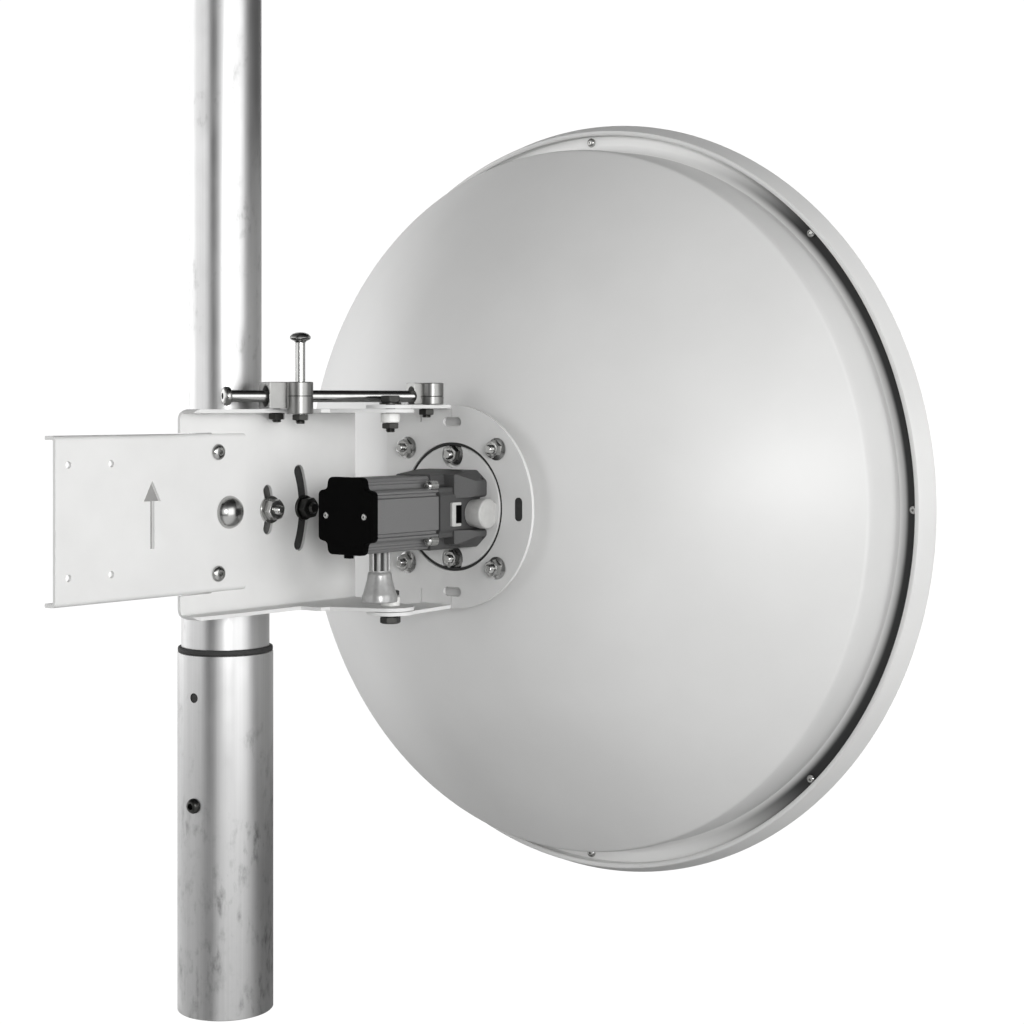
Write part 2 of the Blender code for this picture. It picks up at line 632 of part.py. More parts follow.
def make_hub_plate():
    """The D-shaped plate behind the dish, with bolt slots and two swivel flanges."""
    left = 0.059 - DISH_X
    outline = [(left, -HUB_FLANGE_HEIGHT)]
    outline += arc((0, 0), HUB_FLANGE_HEIGHT, -90, 90, 24)
    outline += [(left, HUB_FLANGE_HEIGHT)]
    face = mast_place(DISH_X, HUB_PLATE_Y, AXIS_Z)
    axes = Matrix(((-1, 0, 0), (0, 0, 1), (0, 1, 0)))
    plate = sheet("hub_plate", [(-x, z) for x, z in outline], SHEET, axes, face)
    for label, height in (("upper", HUB_FLANGE_HEIGHT - SHEET), ("lower", -HUB_FLANGE_HEIGHT)):
        join(plate, sheet(f"hub_{label}_flange", hub_flange_outline(), SHEET, UPRIGHT,
                          mast_place(0, 0, AXIS_Z + height)))
    low = -0.003
    cut(plate, rod("hub_hole", HUB_HOLE_RADIUS, low, 0.006, ALONG_Y, face, 48))
    slot_ring = 0.0705
    for label, x, z, upright in (("side", slot_ring + 0.002, 0, True),
                                 ("top", 0, slot_ring + 0.002, False),
                                 ("bottom", 0, -slot_ring - 0.002, False)):
        outline = straight_slot((-x, z), 0.020, 0.008, upright)
        cut(plate, sheet(f"{label}_slot", outline, 0.009, axes, face + Vector((0, low, 0))))
    for number in range(4):
        angle = math.radians(45 + 90 * number)
        where = Vector((math.cos(angle), 0, math.sin(angle))) * slot_ring
        cut(plate, rod(f"hub_bolt_hole_{number}", 0.004 + BOLT_PLAY, low, 0.006, ALONG_Y,
                       face + where))
    for label, side in (("upper", 1), ("lower", -1)):
        cut(plate, rod(f"hub_{label}_swivel_hole", 0.004 + BOLT_PLAY, -0.01, 0.01, UPRIGHT,
                       mast_place(SWIVEL.x, SWIVEL.y, AXIS_Z + side * HUB_FLANGE_HEIGHT)))
    cut(plate, rod("front_pin_hole", 0.004 + BOLT_PLAY, -0.01, 0.01, UPRIGHT,
                   mast_place(ROD_END.x, ROD_END.y, AXIS_Z + HUB_FLANGE_HEIGHT)))
    pieces = [finish_piece(plate, WHITE_COAT)]

    for number in range(4):
        angle = math.radians(45 + 90 * number)
        where = face + Vector((math.cos(angle), 0, math.sin(angle))) * slot_ring
        profile = [(0.0, SHEET), (0.004, SHEET), (0.004, -GAP), (0.0095, -GAP),
                   (0.0095, -0.0018), (0.004, -0.0018), (0.004, -0.0125), (0.0, -0.0125)]
        nut = turned(f"hub_nut_{number + 1}", profile, ALONG_Y, where, 16)
        join(nut, hexagon(f"hub_hex_{number}", 0.013, -0.0085, -0.001, ALONG_Y, where))
        pieces.append(finish_piece(nut, STEEL))
    return pieces


def dish_back(radius):
    """Height of the reflector's rear face above the hub, at a radius."""
    return radius * radius / DISH_FOUR_F


def make_hub_casting():
    """The turned casting between the hub plate and the reflector, and its two inner bolts."""
    axis = mast_place(DISH_X, DISH_Y, AXIS_Z)
    back = HUB_PLATE_Y + SHEET + GAP - DISH_Y
    recess = CASTING_RECESS
    outer = 0.070
    steps = 4
    profile = [(0.0, -GAP)]
    for i in range(1, steps + 1):
        radius = outer * i / steps
        profile.append((radius, dish_back(radius) - GAP * 1.5))
    profile += [(outer, back), (HUB_HOLE_RADIUS, back), (HUB_HOLE_RADIUS, recess),
                (0.0, recess)]
    casting = turned("hub_casting", profile, ALONG_Y, axis, 48)
    pieces = [finish_piece(casting, GREY_CAST)]
    for label, side in (("upper", 1), ("lower", -1)):
        where = axis + Vector((0, recess - GAP, side * 0.0445))
        profile = [(0.0, 0.0), (0.0095, 0.0), (0.0095, -0.002), (0.004, -0.002),
                   (0.004, -0.0115), (0.0, -0.0115)]
        bolt = turned(f"hub_inner_bolt_{label}", profile, ALONG_Y, where, 16)
        join(bolt, hexagon(f"inner_hex_{label}", 0.013, -0.0085, -0.001, ALONG_Y, where))
        pieces.append(finish_piece(bolt, STEEL))
    return pieces


def make_dish():
    """The deep reflector with its flat rim, the ring round the rim and the radome."""
    axis = mast_place(DISH_X, DISH_Y, AXIS_Z)
    steps = 10
    floor = FLANGE_Y - DISH_Y
    ring_back = RING_BACK - DISH_Y
    ring_front = RING_FRONT - DISH_Y
    spread = (RING_FRONT_RADIUS - RING_BACK_RADIUS) / (ring_front - ring_back)
    flange_outer = RING_BACK_RADIUS - RING_WALL + (floor - ring_back) * spread - GAP
    back = []
    front = []
    for i in range(steps + 1):
        radius = DISH_RADIUS * i / steps
        slope = 2 * radius / DISH_FOUR_F
        length = math.hypot(1.0, slope)
        height = dish_back(radius)
        back.append((radius, height))
        front.append((radius - DISH_SHEET * slope / length, height + DISH_SHEET / length))
    crease = dish_back(DISH_RADIUS)
    wall = [(DISH_RADIUS + 0.0022, crease + 0.003), (DISH_RADIUS + 0.0032, crease + 0.010),
            (DISH_RADIUS + 0.0044, floor - 0.008), (DISH_RADIUS + 0.0068, floor - 0.0022),
            (DISH_RADIUS + 0.0120, floor)]
    inside = [(radius - DISH_SHEET, height) for radius, height in wall[:3]]
    inside += [(DISH_RADIUS + 0.0055, floor + DISH_SHEET)]
    profile = front[:-1] + inside + [(flange_outer, floor + DISH_SHEET), (flange_outer, floor)]
    profile += wall[::-1] + back[::-1]
    reflector = turned("reflector", profile, ALONG_Y, axis, 72)
    pieces = [finish_piece(reflector, WHITE_COAT)]

    under_lip = ring_front - RING_WALL
    lip = RING_FRONT_RADIUS - 0.013
    profile = [(RING_FRONT_RADIUS, ring_front), (RING_BACK_RADIUS, ring_back),
               (RING_BACK_RADIUS - RING_WALL, ring_back),
               (RING_FRONT_RADIUS - RING_WALL * (1 + spread), under_lip), (lip, under_lip),
               (lip, ring_front)]
    ring = turned("rim_ring", profile, ALONG_Y, axis, 72, ring=True)
    pieces.append(finish_piece(ring, WHITE_COAT))

    seat = floor + DISH_SHEET + GAP
    edge = flange_outer
    shell = 0.003
    top = under_lip - GAP
    rise = 0.016
    hump = 0.326
    rings = 5
    crown = [(hump * i / rings, rise * (1 - (i / rings) ** 2)) for i in range(rings + 1)]
    profile = [(radius, top + height) for radius, height in crown]
    profile += [(edge, top), (edge, seat), (hump, seat)]
    profile += [(radius, top - shell + height) for radius, height in reversed(crown[:-1])]
    radome = turned("radome", profile, ALONG_Y, axis, 72)
    pieces.append(finish_piece(radome, NYLON))
    return pieces


def stepped_outline(half_width, half_height, notch_x, notch_z):
    """An upright rectangle whose four corners are stepped in."""
    quarter = [(half_width, half_height - notch_z), (half_width - notch_x, half_height - notch_z),
               (half_width - notch_x, half_height)]
    outline = list(quarter)
    outline += [(-x, z) for x, z in reversed(quarter)]
    outline += [(-x, -z) for x, z in quarter]
    outline += [(x, -z) for x, z in reversed(quarter)]
    return outline


def make_radio():
    """The radio unit: end cap, extruded body, cast adapter, round plug and cable gland."""
    axes = Matrix(((-1, 0, 0), (0, 0, 1), (0, 1, 0)))
    half_width = 0.030
    half_height = RADIO_HALF_HEIGHT
    outline = stepped_outline(half_width, half_height, 0.0115, 0.0105)
    cap_front = RADIO_BACK + 0.007
    cap = sheet("radio_end_cap", outline, cap_front - RADIO_BACK, axes,
                mast_place(DISH_X, RADIO_BACK, RADIO_Z))
    pieces = [finish_piece(cap, BLACK_PLASTIC)]
    body_back = cap_front + GAP
    body_outline = stepped_outline(half_width - 0.001, half_height - 0.001, 0.0105, 0.0095)
    body = sheet("radio_body", body_outline, RADIO_JOINT - body_back, axes,
                 mast_place(DISH_X, body_back, RADIO_Z))
    pieces.append(finish_piece(body, GREY_CAST))

    adapter_back = RADIO_JOINT + GAP
    adapter_front = DISH_Y + CASTING_RECESS - GAP
    adapter = box("radio_adapter", mast_place(DISH_X - 0.0305, adapter_back, AXIS_Z - 0.024),
                  mast_place(DISH_X + 0.0305, adapter_front, AXIS_Z + 0.024))
    spine = box("adapter_spine", mast_place(DISH_X - 0.0215, adapter_back, AXIS_Z - 0.034),
                mast_place(DISH_X + 0.0215, adapter_front, AXIS_Z + 0.034))
    join(adapter, spine)
    ear = 0.038
    ear_back = 0.1105
    shoulder = [(0.0285, 0.0095), (ear, 0.0095), (ear, 0.022), (0.028, 0.033)]
    foot = shoulder + [(-x, z) for x, z in reversed(shoulder)]
    shoulder = [(0.0285, -0.0175), (ear, -0.0175), (ear, -0.022), (0.028, -0.033)]
    foot += [(-x, z) for x, z in shoulder] + shoulder[::-1]
    lobes = sheet("adapter_lobes", foot, adapter_front - 0.001 - ear_back, axes,
                  mast_place(DISH_X, ear_back, AXIS_Z))
    join(adapter, lobes)
    pieces.append(finish_piece(adapter, GREY_CAST))

    plug_face = DISH_X + 0.0305 + GAP
    plug_place = mast_place(plug_face, 0.1285, AXIS_Z - 0.004)
    profile = [(0.0, 0.017), (0.0112, 0.017), (0.0128, 0.0155), (0.0128, 0.004), (0.010, 0.0),
               (0.0, 0.0)]
    plug = turned("radio_plug", profile, ALONG_X, plug_place, 32)
    pieces.append(finish_piece(plug, NYLON))

    gland_top = RADIO_Z - half_height + 0.001 - GAP
    gland_foot = AXIS_Z - 0.074
    height = gland_top - gland_foot
    gland_place = mast_place(DISH_X, 0.046, gland_foot)
    profile = [(0.0, height), (0.009, height), (0.009, height * 0.62), (0.012, height * 0.60),
               (0.0155, height * 0.18), (0.0155, 0.0), (0.0, 0.0)]
    gland = turned("radio_gland", profile, UPRIGHT, gland_place, 24)
    pieces.append(finish_piece(gland, GREY_CAST))
    return pieces


def make_antenna():
    """Build every piece and hang the moving ones on the empties of their joints."""
    make_mast()
    make_clamp()
    elevation = joint_empty("elevation_axis", mast_place(0, PIVOT_Y, AXIS_Z))
    azimuth = joint_empty("azimuth_axis", mast_place(SWIVEL.x, SWIVEL.y, AXIS_Z), elevation)
    rear = rear_block_pivot()
    rear_axis = joint_empty("rear_block_axis", mast_place(rear.x, rear.y, ROD_Z), elevation)
    rod_axis = joint_empty("rod_axis", mast_place(ROD_END.x, ROD_END.y, ROD_Z), azimuth)
    riders = {
        elevation: [make_side_plate()] + make_arm() + make_swivel_bolts(),
        azimuth: make_hub_plate() + make_hub_casting() + make_dish() + make_radio(),
        rear_axis: make_rear_block(),
        rod_axis: make_front_block(),
    }
    for empty, pieces in riders.items():
        for piece in pieces:
            attach(piece, empty)


make_antenna()
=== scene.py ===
"""A parabolic dish antenna on a telescopic mast: the looks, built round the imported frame."""
import math

import bmesh
import bpy
from mathutils import Matrix, Vector


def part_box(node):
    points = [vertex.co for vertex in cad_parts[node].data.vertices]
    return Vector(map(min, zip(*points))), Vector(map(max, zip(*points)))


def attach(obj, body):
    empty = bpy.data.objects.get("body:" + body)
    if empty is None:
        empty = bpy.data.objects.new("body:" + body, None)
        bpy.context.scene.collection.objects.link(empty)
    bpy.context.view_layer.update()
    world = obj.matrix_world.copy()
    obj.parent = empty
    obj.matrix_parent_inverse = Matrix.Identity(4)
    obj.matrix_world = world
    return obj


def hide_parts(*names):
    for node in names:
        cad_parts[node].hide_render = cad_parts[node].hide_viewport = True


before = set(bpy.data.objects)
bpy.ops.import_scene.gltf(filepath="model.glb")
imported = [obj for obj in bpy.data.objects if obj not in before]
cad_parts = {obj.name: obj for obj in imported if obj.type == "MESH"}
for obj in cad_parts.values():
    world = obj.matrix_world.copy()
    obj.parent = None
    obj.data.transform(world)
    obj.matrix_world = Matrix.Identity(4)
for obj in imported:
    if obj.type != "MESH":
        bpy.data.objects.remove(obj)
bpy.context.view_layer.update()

# The camera stands level with the bracket's top, behind the dish and to the radio's side, as the
# photograph was taken. Its picture is 1024 pixels square, with the horizon above its middle.
PICTURE = 1024
FOCAL_PIXELS = 1933
HORIZON_ROW = 404
HEADING = math.radians(38.8)
lens_data = bpy.data.cameras.new("photo_camera")
lens_data.sensor_width = 36
lens_data.lens = FOCAL_PIXELS / PICTURE * lens_data.sensor_width
lens_data.shift_y = (HORIZON_ROW - PICTURE / 2) / PICTURE
camera = bpy.data.objects.new("photo_camera", lens_data)
camera.location = (1.2089, -1.0797, 0.5077)
camera.rotation_euler = (math.radians(90), 0, HEADING)
bpy.context.collection.objects.link(camera)
bpy.context.scene.camera = camera


# The room is a photographer's white sweep, a little below the mast's cut foot: a pale floor that
# curves up into a wall far behind and reads as pure white. A tall strip light stands on each side,
# a glow with a dark gap fills the near side, and one soft lamp makes the bowl's highlight.
def linear(code):
    """An sRGB hex colour as linear values with alpha."""
    parts = [int(code[i:i + 2], 16) / 255 for i in (1, 3, 5)]
    return [p / 12.92 if p < 0.04045 else ((p + 0.055) / 1.055) ** 2.4 for p in parts] + [1.0]


def add(tree, kind, inputs=None, **settings):
    """Add a node with its settings, and set or link each named input."""
    made = tree.nodes.new("ShaderNode" + kind)
    for key, value in settings.items():
        setattr(made, key, value)
    for key, value in (inputs or {}).items():
        if isinstance(value, bpy.types.NodeSocket):
            tree.links.new(value, made.inputs[key])
        else:
            made.inputs[key].default_value = value
    return made


def new_material(name):
    """A material with only its output, and the tree to fill."""
    made = bpy.data.materials.new(name)
    made.use_nodes = True
    made.node_tree.nodes.clear()
    return made, made.node_tree


def end_with(tree, shader):
    """Link a shader to the material's output."""
    add(tree, "OutputMaterial", {"Surface": shader.outputs[0]})


def calc(tree, operation, *values):
    """The result of a calculation with sockets and numbers."""
    return add(tree, "Math", dict(enumerate(values)), operation=operation).outputs[0]


def spread(tree, value, low, high, start=0.0, end=1.0, **settings):
    """Map a socket's range to another range, and hold it at both ends."""
    return add(tree, "MapRange", {"Value": value, "From Min": low, "From Max": high,
                                  "To Min": start, "To Max": end}, **settings).outputs[0]


def bearing_of(tree, coordinates):
    """Split texture coordinates into x, y and z, and find their bearing in the ground plan."""
    toward = add(tree, "SeparateXYZ", {"Vector": add(tree, "TexCoord").outputs[coordinates]})
    return toward, calc(tree, "ARCTAN2", toward.outputs["Y"], toward.outputs["X"])


def by_angle(tree, angle, stops):
    """A grey level from an angle in radians, between stops of (degrees, level)."""
    low, high = stops[0][0], stops[-1][0]
    share = spread(tree, angle, math.radians(low), math.radians(high))
    made = add(tree, "ValToRGB", {"Fac": share})
    ramp = made.color_ramp
    while len(ramp.elements) < len(stops):
        ramp.elements.new(0.5)
    for stop, (degrees, level) in zip(ramp.elements, stops):
        stop.position = (degrees - low) / (high - low)
        stop.color = (level, level, level, 1)
    return made.outputs["Color"]


WHITE_LEVEL = 1.05
sweep_paint, tree = new_material("sweep_paint")
pale = add(tree, "BsdfPrincipled", {"Base Color": linear("#cccccc"), "Roughness": 0.9})
lit = add(tree, "Emission", {"Strength": WHITE_LEVEL})
toward, bearing = bearing_of(tree, "Object")
# Mirror rays see the sweep glow in pools by bearing, painted reflections of the room's lights.
pools = by_angle(tree, bearing, [
    (-180, 0.95), (-150, 0.65), (-100, 0.4), (-86, 0.05), (-68, 0.05), (-56, 0.85), (10, 0.75),
    (40, 0.0), (130, 0.0), (150, 0.9), (180, 0.95)])
path = add(tree, "LightPath").outputs
seen = calc(tree, "ADD", path["Is Camera Ray"],
            calc(tree, "MULTIPLY", path["Is Glossy Ray"], pools))
end_with(tree, add(tree, "MixShader", {0: seen, 1: pale.outputs[0], 2: lit.outputs[0]}))
floor_level = -0.06
floor_depth = 3.2
wall_turn = 1.2
wall_top = 5.0
sweep_half = 2.1
wall_steps = 12
profile = [Vector((0, -1.2, floor_level)), Vector((0, floor_depth, floor_level))]
for i in range(1, wall_steps + 1):
    turn = math.radians(90 * i / wall_steps)
    profile.append(Vector((0, floor_depth + wall_turn * math.sin(turn),
                           floor_level + wall_turn * (1 - math.cos(turn)))))
profile.append(Vector((0, floor_depth + wall_turn, wall_top)))
shape = bmesh.new()
line = [shape.verts.new(point + Vector((-sweep_half, 0, 0))) for point in profile]
edges = [shape.edges.new(pair) for pair in zip(line, line[1:])]
raised = bmesh.ops.extrude_edge_only(shape, edges=edges)["geom"]
raised = [item for item in raised if isinstance(item, bmesh.types.BMVert)]
bmesh.ops.translate(shape, vec=(2 * sweep_half, 0, 0), verts=raised)
bmesh.ops.rotate(shape, cent=(0, 0, 0), matrix=Matrix.Rotation(HEADING, 3, "Z"),
                 verts=shape.verts)
sweep_mesh = bpy.data.meshes.new("studio_sweep")
shape.to_mesh(sweep_mesh)
shape.free()
sweep_mesh.shade_smooth()
sweep_mesh.materials.append(sweep_paint)
sweep = bpy.data.objects.new("studio_sweep", sweep_mesh)
bpy.context.collection.objects.link(sweep)

world = bpy.data.worlds.new("studio_surround")
world.use_nodes = True
bpy.context.scene.world = world
tree = world.node_tree
tree.nodes.clear()
toward, bearing = bearing_of(tree, "Generated")
lift = calc(tree, "ARCSINE", toward.outputs["Z"])
glow = calc(
    tree, "MULTIPLY",
    by_angle(tree, bearing, [
        (-180, 0.55), (-155, 0.9), (-115, 1.0), (-102, 1.0), (-94, 0.4), (-88, 0.1), (-72, 0.1),
        (-66, 0.5), (-58, 0.8), (-24, 0.5), (25, 0.3), (45, 0.11), (110, 0.08), (140, 0.5),
        (180, 0.55)]),
    by_angle(tree, lift, [
        (-90, 0.0), (-34, 0.01), (-16, 0.14), (-5, 1.0), (16, 1.0), (29, 0.28), (48, 0.08),
        (90, 0.05)]))
strips = calc(
    tree, "MULTIPLY",
    by_angle(tree, bearing, [
        (-180, 0.6), (-162, 0.5), (-152, 0.1), (-146, 0), (-28, 0), (-16, 0.9), (10, 1.0),
        (20, 0.2), (28, 0), (140, 0), (152, 0.5), (180, 0.6)]),
    by_angle(tree, lift, [
        (-90, 0), (-36, 0), (-22, 1.0), (16, 1.0), (30, 0), (90, 0)]))

# Matt surfaces get more of both lights than mirrors do. A flag behind the camera holds most of
# the glow off them.
path = add(tree, "LightPath").outputs
flag = by_angle(tree, bearing, [(-180, 0), (-74, 0), (-62, 0.9), (-30, 0.9), (-20, 0), (180, 0)])
kept = calc(tree, "MULTIPLY_ADD", path["Is Diffuse Ray"], calc(tree, "SUBTRACT", 0.3, flag), 1.0)
gain = calc(tree, "MULTIPLY_ADD", path["Is Diffuse Ray"], 1.65, 1.2)
both = calc(tree, "ADD", calc(tree, "MULTIPLY", strips, gain), calc(tree, "MULTIPLY", glow, kept))
around = add(tree, "Background", {"Color": both, "Strength": 1.63})
white = add(tree, "Background", {"Color": linear("#ffffff"), "Strength": WHITE_LEVEL})
surround = add(tree, "MixShader", {0: path["Is Camera Ray"], 1: around.outputs[0],
                                   2: white.outputs[0]})
add(tree, "OutputWorld", {"Surface": surround.outputs[0]})
bpy.context.scene.view_settings.view_transform = "Standard"

lamp_place = Vector((1.86, -1.36, 0.68))
lamp_aim = Vector((0.4, 0.28, 0.45))
lamp_data = bpy.data.lights.new("highlight_lamp", "AREA")
lamp_data.size = 0.5
lamp_data.energy = 20
lamp = bpy.data.objects.new("highlight_lamp", lamp_data)
lamp.location = lamp_place
lamp.rotation_euler = (lamp_aim - lamp_place).to_track_quat("-Z", "Y").to_euler()
bpy.context.collection.objects.link(lamp)


# The mast is three drawn aluminium tubes that slide in each other. The metal is bare and has
# weathered: lengthwise drawing marks, dull oxide patches and scratches, and it is darker in
# patches low down.
MM = 0.001
mast_foot = (Vector(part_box("mast_upper_pipe")[0]) + Vector(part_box("mast_upper_pipe")[1])) / 2
mast_foot.z = 0
ALONG_X = Matrix(((0, 0, 1), (1, 0, 0), (0, 1, 0)))
ALONG_Y = Matrix(((0, 1, 0), (0, 0, 1), (1, 0, 0)))


def placed(shape, axes, centre):
    """Turn a shape's own axes to the given ones and move it to its centre."""
    turn = axes.to_4x4() if axes else Matrix.Identity(4)
    bmesh.ops.transform(shape, matrix=Matrix.Translation(centre) @ turn, verts=shape.verts)
    return shape


def settled(shape):
    """Put a shape's elements in order of place, as spin and merging leave it to chance."""
    def rank(spot):
        # Height in hundredths of a millimetre comes first, then depth, then width
        return round(spot.z, 2) * 1e10 + round(spot.y, 2) * 1e5 + round(spot.x, 2)

    shape.verts.sort(key=lambda corner: rank(corner.co))
    shape.edges.sort(key=lambda edge: rank(edge.verts[0].co + edge.verts[1].co))
    shape.faces.sort(key=lambda face: rank(face.calc_center_median()))


def spun(profile, steps, axes=None, centre=(0, 0, 0), ring=False):
    """Spin a profile of (radius, height) points in millimetres, given down its outer side."""
    shape = bmesh.new()
    line = [shape.verts.new((radius, 0, height)) for radius, height in profile]
    edges = [shape.edges.new(pair) for pair in zip(line, line[1:])]
    if ring:
        edges.append(shape.edges.new((line[-1], line[0])))
    bmesh.ops.spin(shape, geom=line + edges, axis=(0, 0, 1), cent=(0, 0, 0),
                   angle=math.tau, steps=steps, use_merge=True)
    bmesh.ops.remove_doubles(shape, verts=shape.verts, dist=0.001)
    bmesh.ops.recalc_face_normals(shape, faces=shape.faces)
    settled(shape)
    return placed(shape, axes, centre)


def carved(shape, tool, operation="DIFFERENCE"):
    """Cut one closed shape with another by an exact Boolean."""
    pair = []
    for part in (shape, tool):
        mesh = bpy.data.meshes.new("carving")
        part.to_mesh(mesh)
        part.free()
        pair.append(bpy.data.objects.new("carving", mesh))
        bpy.context.collection.objects.link(pair[-1])
    modifier = pair[0].modifiers.new("carve", "BOOLEAN")
    modifier.operation = operation
    modifier.object = pair[1]
    bpy.context.view_layer.update()
    result = pair[0].evaluated_get(bpy.context.evaluated_depsgraph_get())
    shape = bmesh.new()
    shape.from_mesh(result.to_mesh())
    result.to_mesh_clear()
    for part in pair:
        bpy.data.meshes.remove(part.data)
    return shape


def joined(*shapes):
    """Lay several closed shapes together in one mesh."""
    whole = shapes[0]
    for part in shapes[1:]:
        mesh = bpy.data.meshes.new("part")
        part.to_mesh(mesh)
        part.free()
        whole.from_mesh(mesh)
        bpy.data.meshes.remove(mesh)
    return whole


def put(shape, name, material, body, slot, *nodes):
    """Scale a finished shape to metres, and say what it rides on and which nodes it stands for."""
    bmesh.ops.transform(shape, matrix=Matrix.Translation(mast_foot) @ Matrix.Scale(MM, 4),
                        verts=shape.verts)
    mesh = bpy.data.meshes.new(name)
    shape.to_mesh(mesh)
    shape.free()
    mesh.shade_smooth()
    mesh.set_sharp_from_angle(angle=math.radians(35))
    mesh.materials.append(material)
    piece = bpy.data.objects.new(name, mesh)
    bpy.context.collection.objects.link(piece)
    weights = piece.modifiers.new("weights", "WEIGHTED_NORMAL")
    weights.keep_sharp = True
    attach(piece, body)
    if nodes:
        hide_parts(*nodes)


def noise(tree, place, size, detail, roughness=0.5):
    """The level of a noise with a pattern size in metres."""
    return add(tree, "TexNoise", {"Vector": place, "Scale": 1 / size, "Detail": detail,
                                  "Roughness": roughness}).outputs["Fac"]


def tinted(tree, level, first, second):
    """Mix two colours by a level. Each one is a hex code or a socket."""
    first, second = [linear(c) if isinstance(c, str) else c for c in (first, second)]
    return add(tree, "MixRGB", {"Fac": level, "Color1": first, "Color2": second}).outputs[0]


def relief(tree, level, strength, depth):
    """Normals bumped by a level. The depth is in metres."""
    return add(tree, "Bump", {"Height": level, "Strength": strength,
                              "Distance": depth}).outputs[0]


drawn_aluminium, tree = new_material("weathered_drawn_aluminium")
place = add(tree, "TexCoord").outputs["Object"]
drawing = add(tree, "Mapping", {"Vector": place, "Scale": (1 / 0.0018, 1 / 0.0018, 1 / 0.22)})
lines = noise(tree, drawing.outputs[0], 1.0, 5)
patches = noise(tree, place, 0.045, 7, 0.62)
scuffing = add(tree, "Mapping", {"Vector": place, "Rotation": (0.35, 0.2, 0.0),
                                 "Scale": (1 / 0.006, 1 / 0.006, 1 / 0.016)})
scuffs = noise(tree, scuffing.outputs[0], 1.0, 6, 0.6)
height = add(tree, "SeparateXYZ", {"Vector": place}).outputs["Z"]
low_down = spread(tree, height, 0.3, 0.0, 0.0, 0.35)
crowded = calc(tree, "MULTIPLY_ADD", low_down, 0.42, patches)
stain = calc(tree, "MULTIPLY", spread(tree, scuffs, 0.48, 0.7, 0.0, 0.75),
             spread(tree, crowded, 0.55, 0.74))
bare = tinted(tree, lines, "#b6b6b6", "#c8c8c8")
# Darker in patches low down.
darker_low_down = tinted(tree, calc(tree, "MULTIPLY", low_down, patches), bare, "#5c5b59")
end_with(tree, add(tree, "BsdfPrincipled", {
    "Base Color": tinted(tree, stain, darker_low_down, "#2e2d2c"), "Metallic": 1.0,
    "Roughness": spread(tree, patches, 0.3, 0.75, 0.29, 0.41),
    "Normal": relief(tree, lines, 0.12, 0.00008)}))

wall = 2.9
ease = 0.5
screw_side = Matrix.Rotation(math.radians(7), 3, "Z")
screw_z = 176
spare_hole_z = 265
tubes = {"mast_lower_pipe": (40.0, 0, 300, [(screw_z, 4.6), (spare_hole_z, 4.0)]),
         "mast_middle_pipe": (36.8, 60, 363, [(screw_z, 4.6)]),
         "mast_upper_pipe": (30.15, 240, 900, [])}
for node, (outer, low, high, bores) in tubes.items():
    inner = outer - wall
    section = [(outer - ease, high), (outer, high - ease), (outer, low + ease),
               (outer - ease, low), (inner + ease, low), (inner, low + ease),
               (inner, high - ease), (inner + ease, high)]
    tube = spun(section, 144, ring=True)
    for level, radius in bores:
        tool = spun([(0, -20), (radius, -20), (radius, -45), (0, -45)], 32,
                    screw_side @ ALONG_Y, (0, 0, level))
        tube = carved(tube, tool)
    put(tube, node + "_tube", drawn_aluminium, "mast", "mast_metal", node)


# A black rubber ring seals the lower pipe's mouth, and a moulded bush guides the upper pipe.
# Both are pressed in, and their black has gone a little grey with dust.
def varied(name, size, detail, dark, light, roughness, grain=None, subsurface=0.0, **inputs):
    """A material with a noise between two tones. The roughness can follow it between two values,
    and a finer grain of (size, detail, strength, depth) bumps the surface."""
    made, tree = new_material(name)
    place = add(tree, "TexCoord").outputs["Object"]
    level = noise(tree, place, size, detail)
    if isinstance(roughness, tuple):
        roughness = spread(tree, level, 0.0, 1.0, *roughness)
    inputs.update({"Base Color": tinted(tree, level, dark, light), "Roughness": roughness})
    if grain:
        inputs["Normal"] = relief(tree, noise(tree, place, *grain[:2]), *grain[2:])
    if subsurface:
        inputs.update({"Subsurface Weight": subsurface, "Subsurface Radius": (0.002,) * 3})
    end_with(tree, add(tree, "BsdfPrincipled", inputs))
    return made


# Real black rubber on the mast, and painted shade where the same black fills dark gaps and holes.
rubber = varied("black_rubber_and_painted_shade", 0.003, 4, "#1c1c1c", "#343433", 0.72)
section = [(37.1, 304.5), (38.6, 304.5), (39.3, 304.1), (39.7, 303.2), (39.7, 301.0),
           (39.2, 300.3), (37.1, 300.3)]
put(spun(section, 144, ring=True), "seal_ring", rubber, "mast", "rubber", "mast_seal_ring")
section = [(30.45, 367), (36.0, 367), (36.8, 366.2), (36.8, 363.3), (33.6, 363.3), (33.6, 333),
           (30.45, 333)]
put(spun(section, 96, ring=True), "guide_bush", rubber, "mast", "black_plastic", "mast_bush")


# The locking screw holds the lower and the middle pipe together. It is a phosphated button head
# screw with a hexagon socket, turned in through both walls. A black rubber disc in the spare hole
# is painted shade for the dark inside the hole.
def prism(outline, low, high, axes=None, centre=(0, 0, 0)):
    """Raise a flat outline in millimetres from one height to another."""
    shape = bmesh.new()
    foot = [shape.verts.new((x, y, low)) for x, y in outline]
    top = [shape.verts.new((x, y, high)) for x, y in outline]
    shape.faces.new(foot)
    shape.faces.new(top)
    for i in range(len(outline)):
        j = (i + 1) % len(outline)
        shape.faces.new((foot[i], foot[j], top[j], top[i]))
    bmesh.ops.recalc_face_normals(shape, faces=shape.faces)
    return placed(shape, axes, centre)


def six_sided(across, low, high):
    """A plain six-sided bar."""
    corner = across / math.sqrt(3)
    angles = [math.radians(60 * k + 8) for k in range(6)]
    outline = [(corner * math.cos(a), corner * math.sin(a)) for a in angles]
    return prism(outline, low, high)


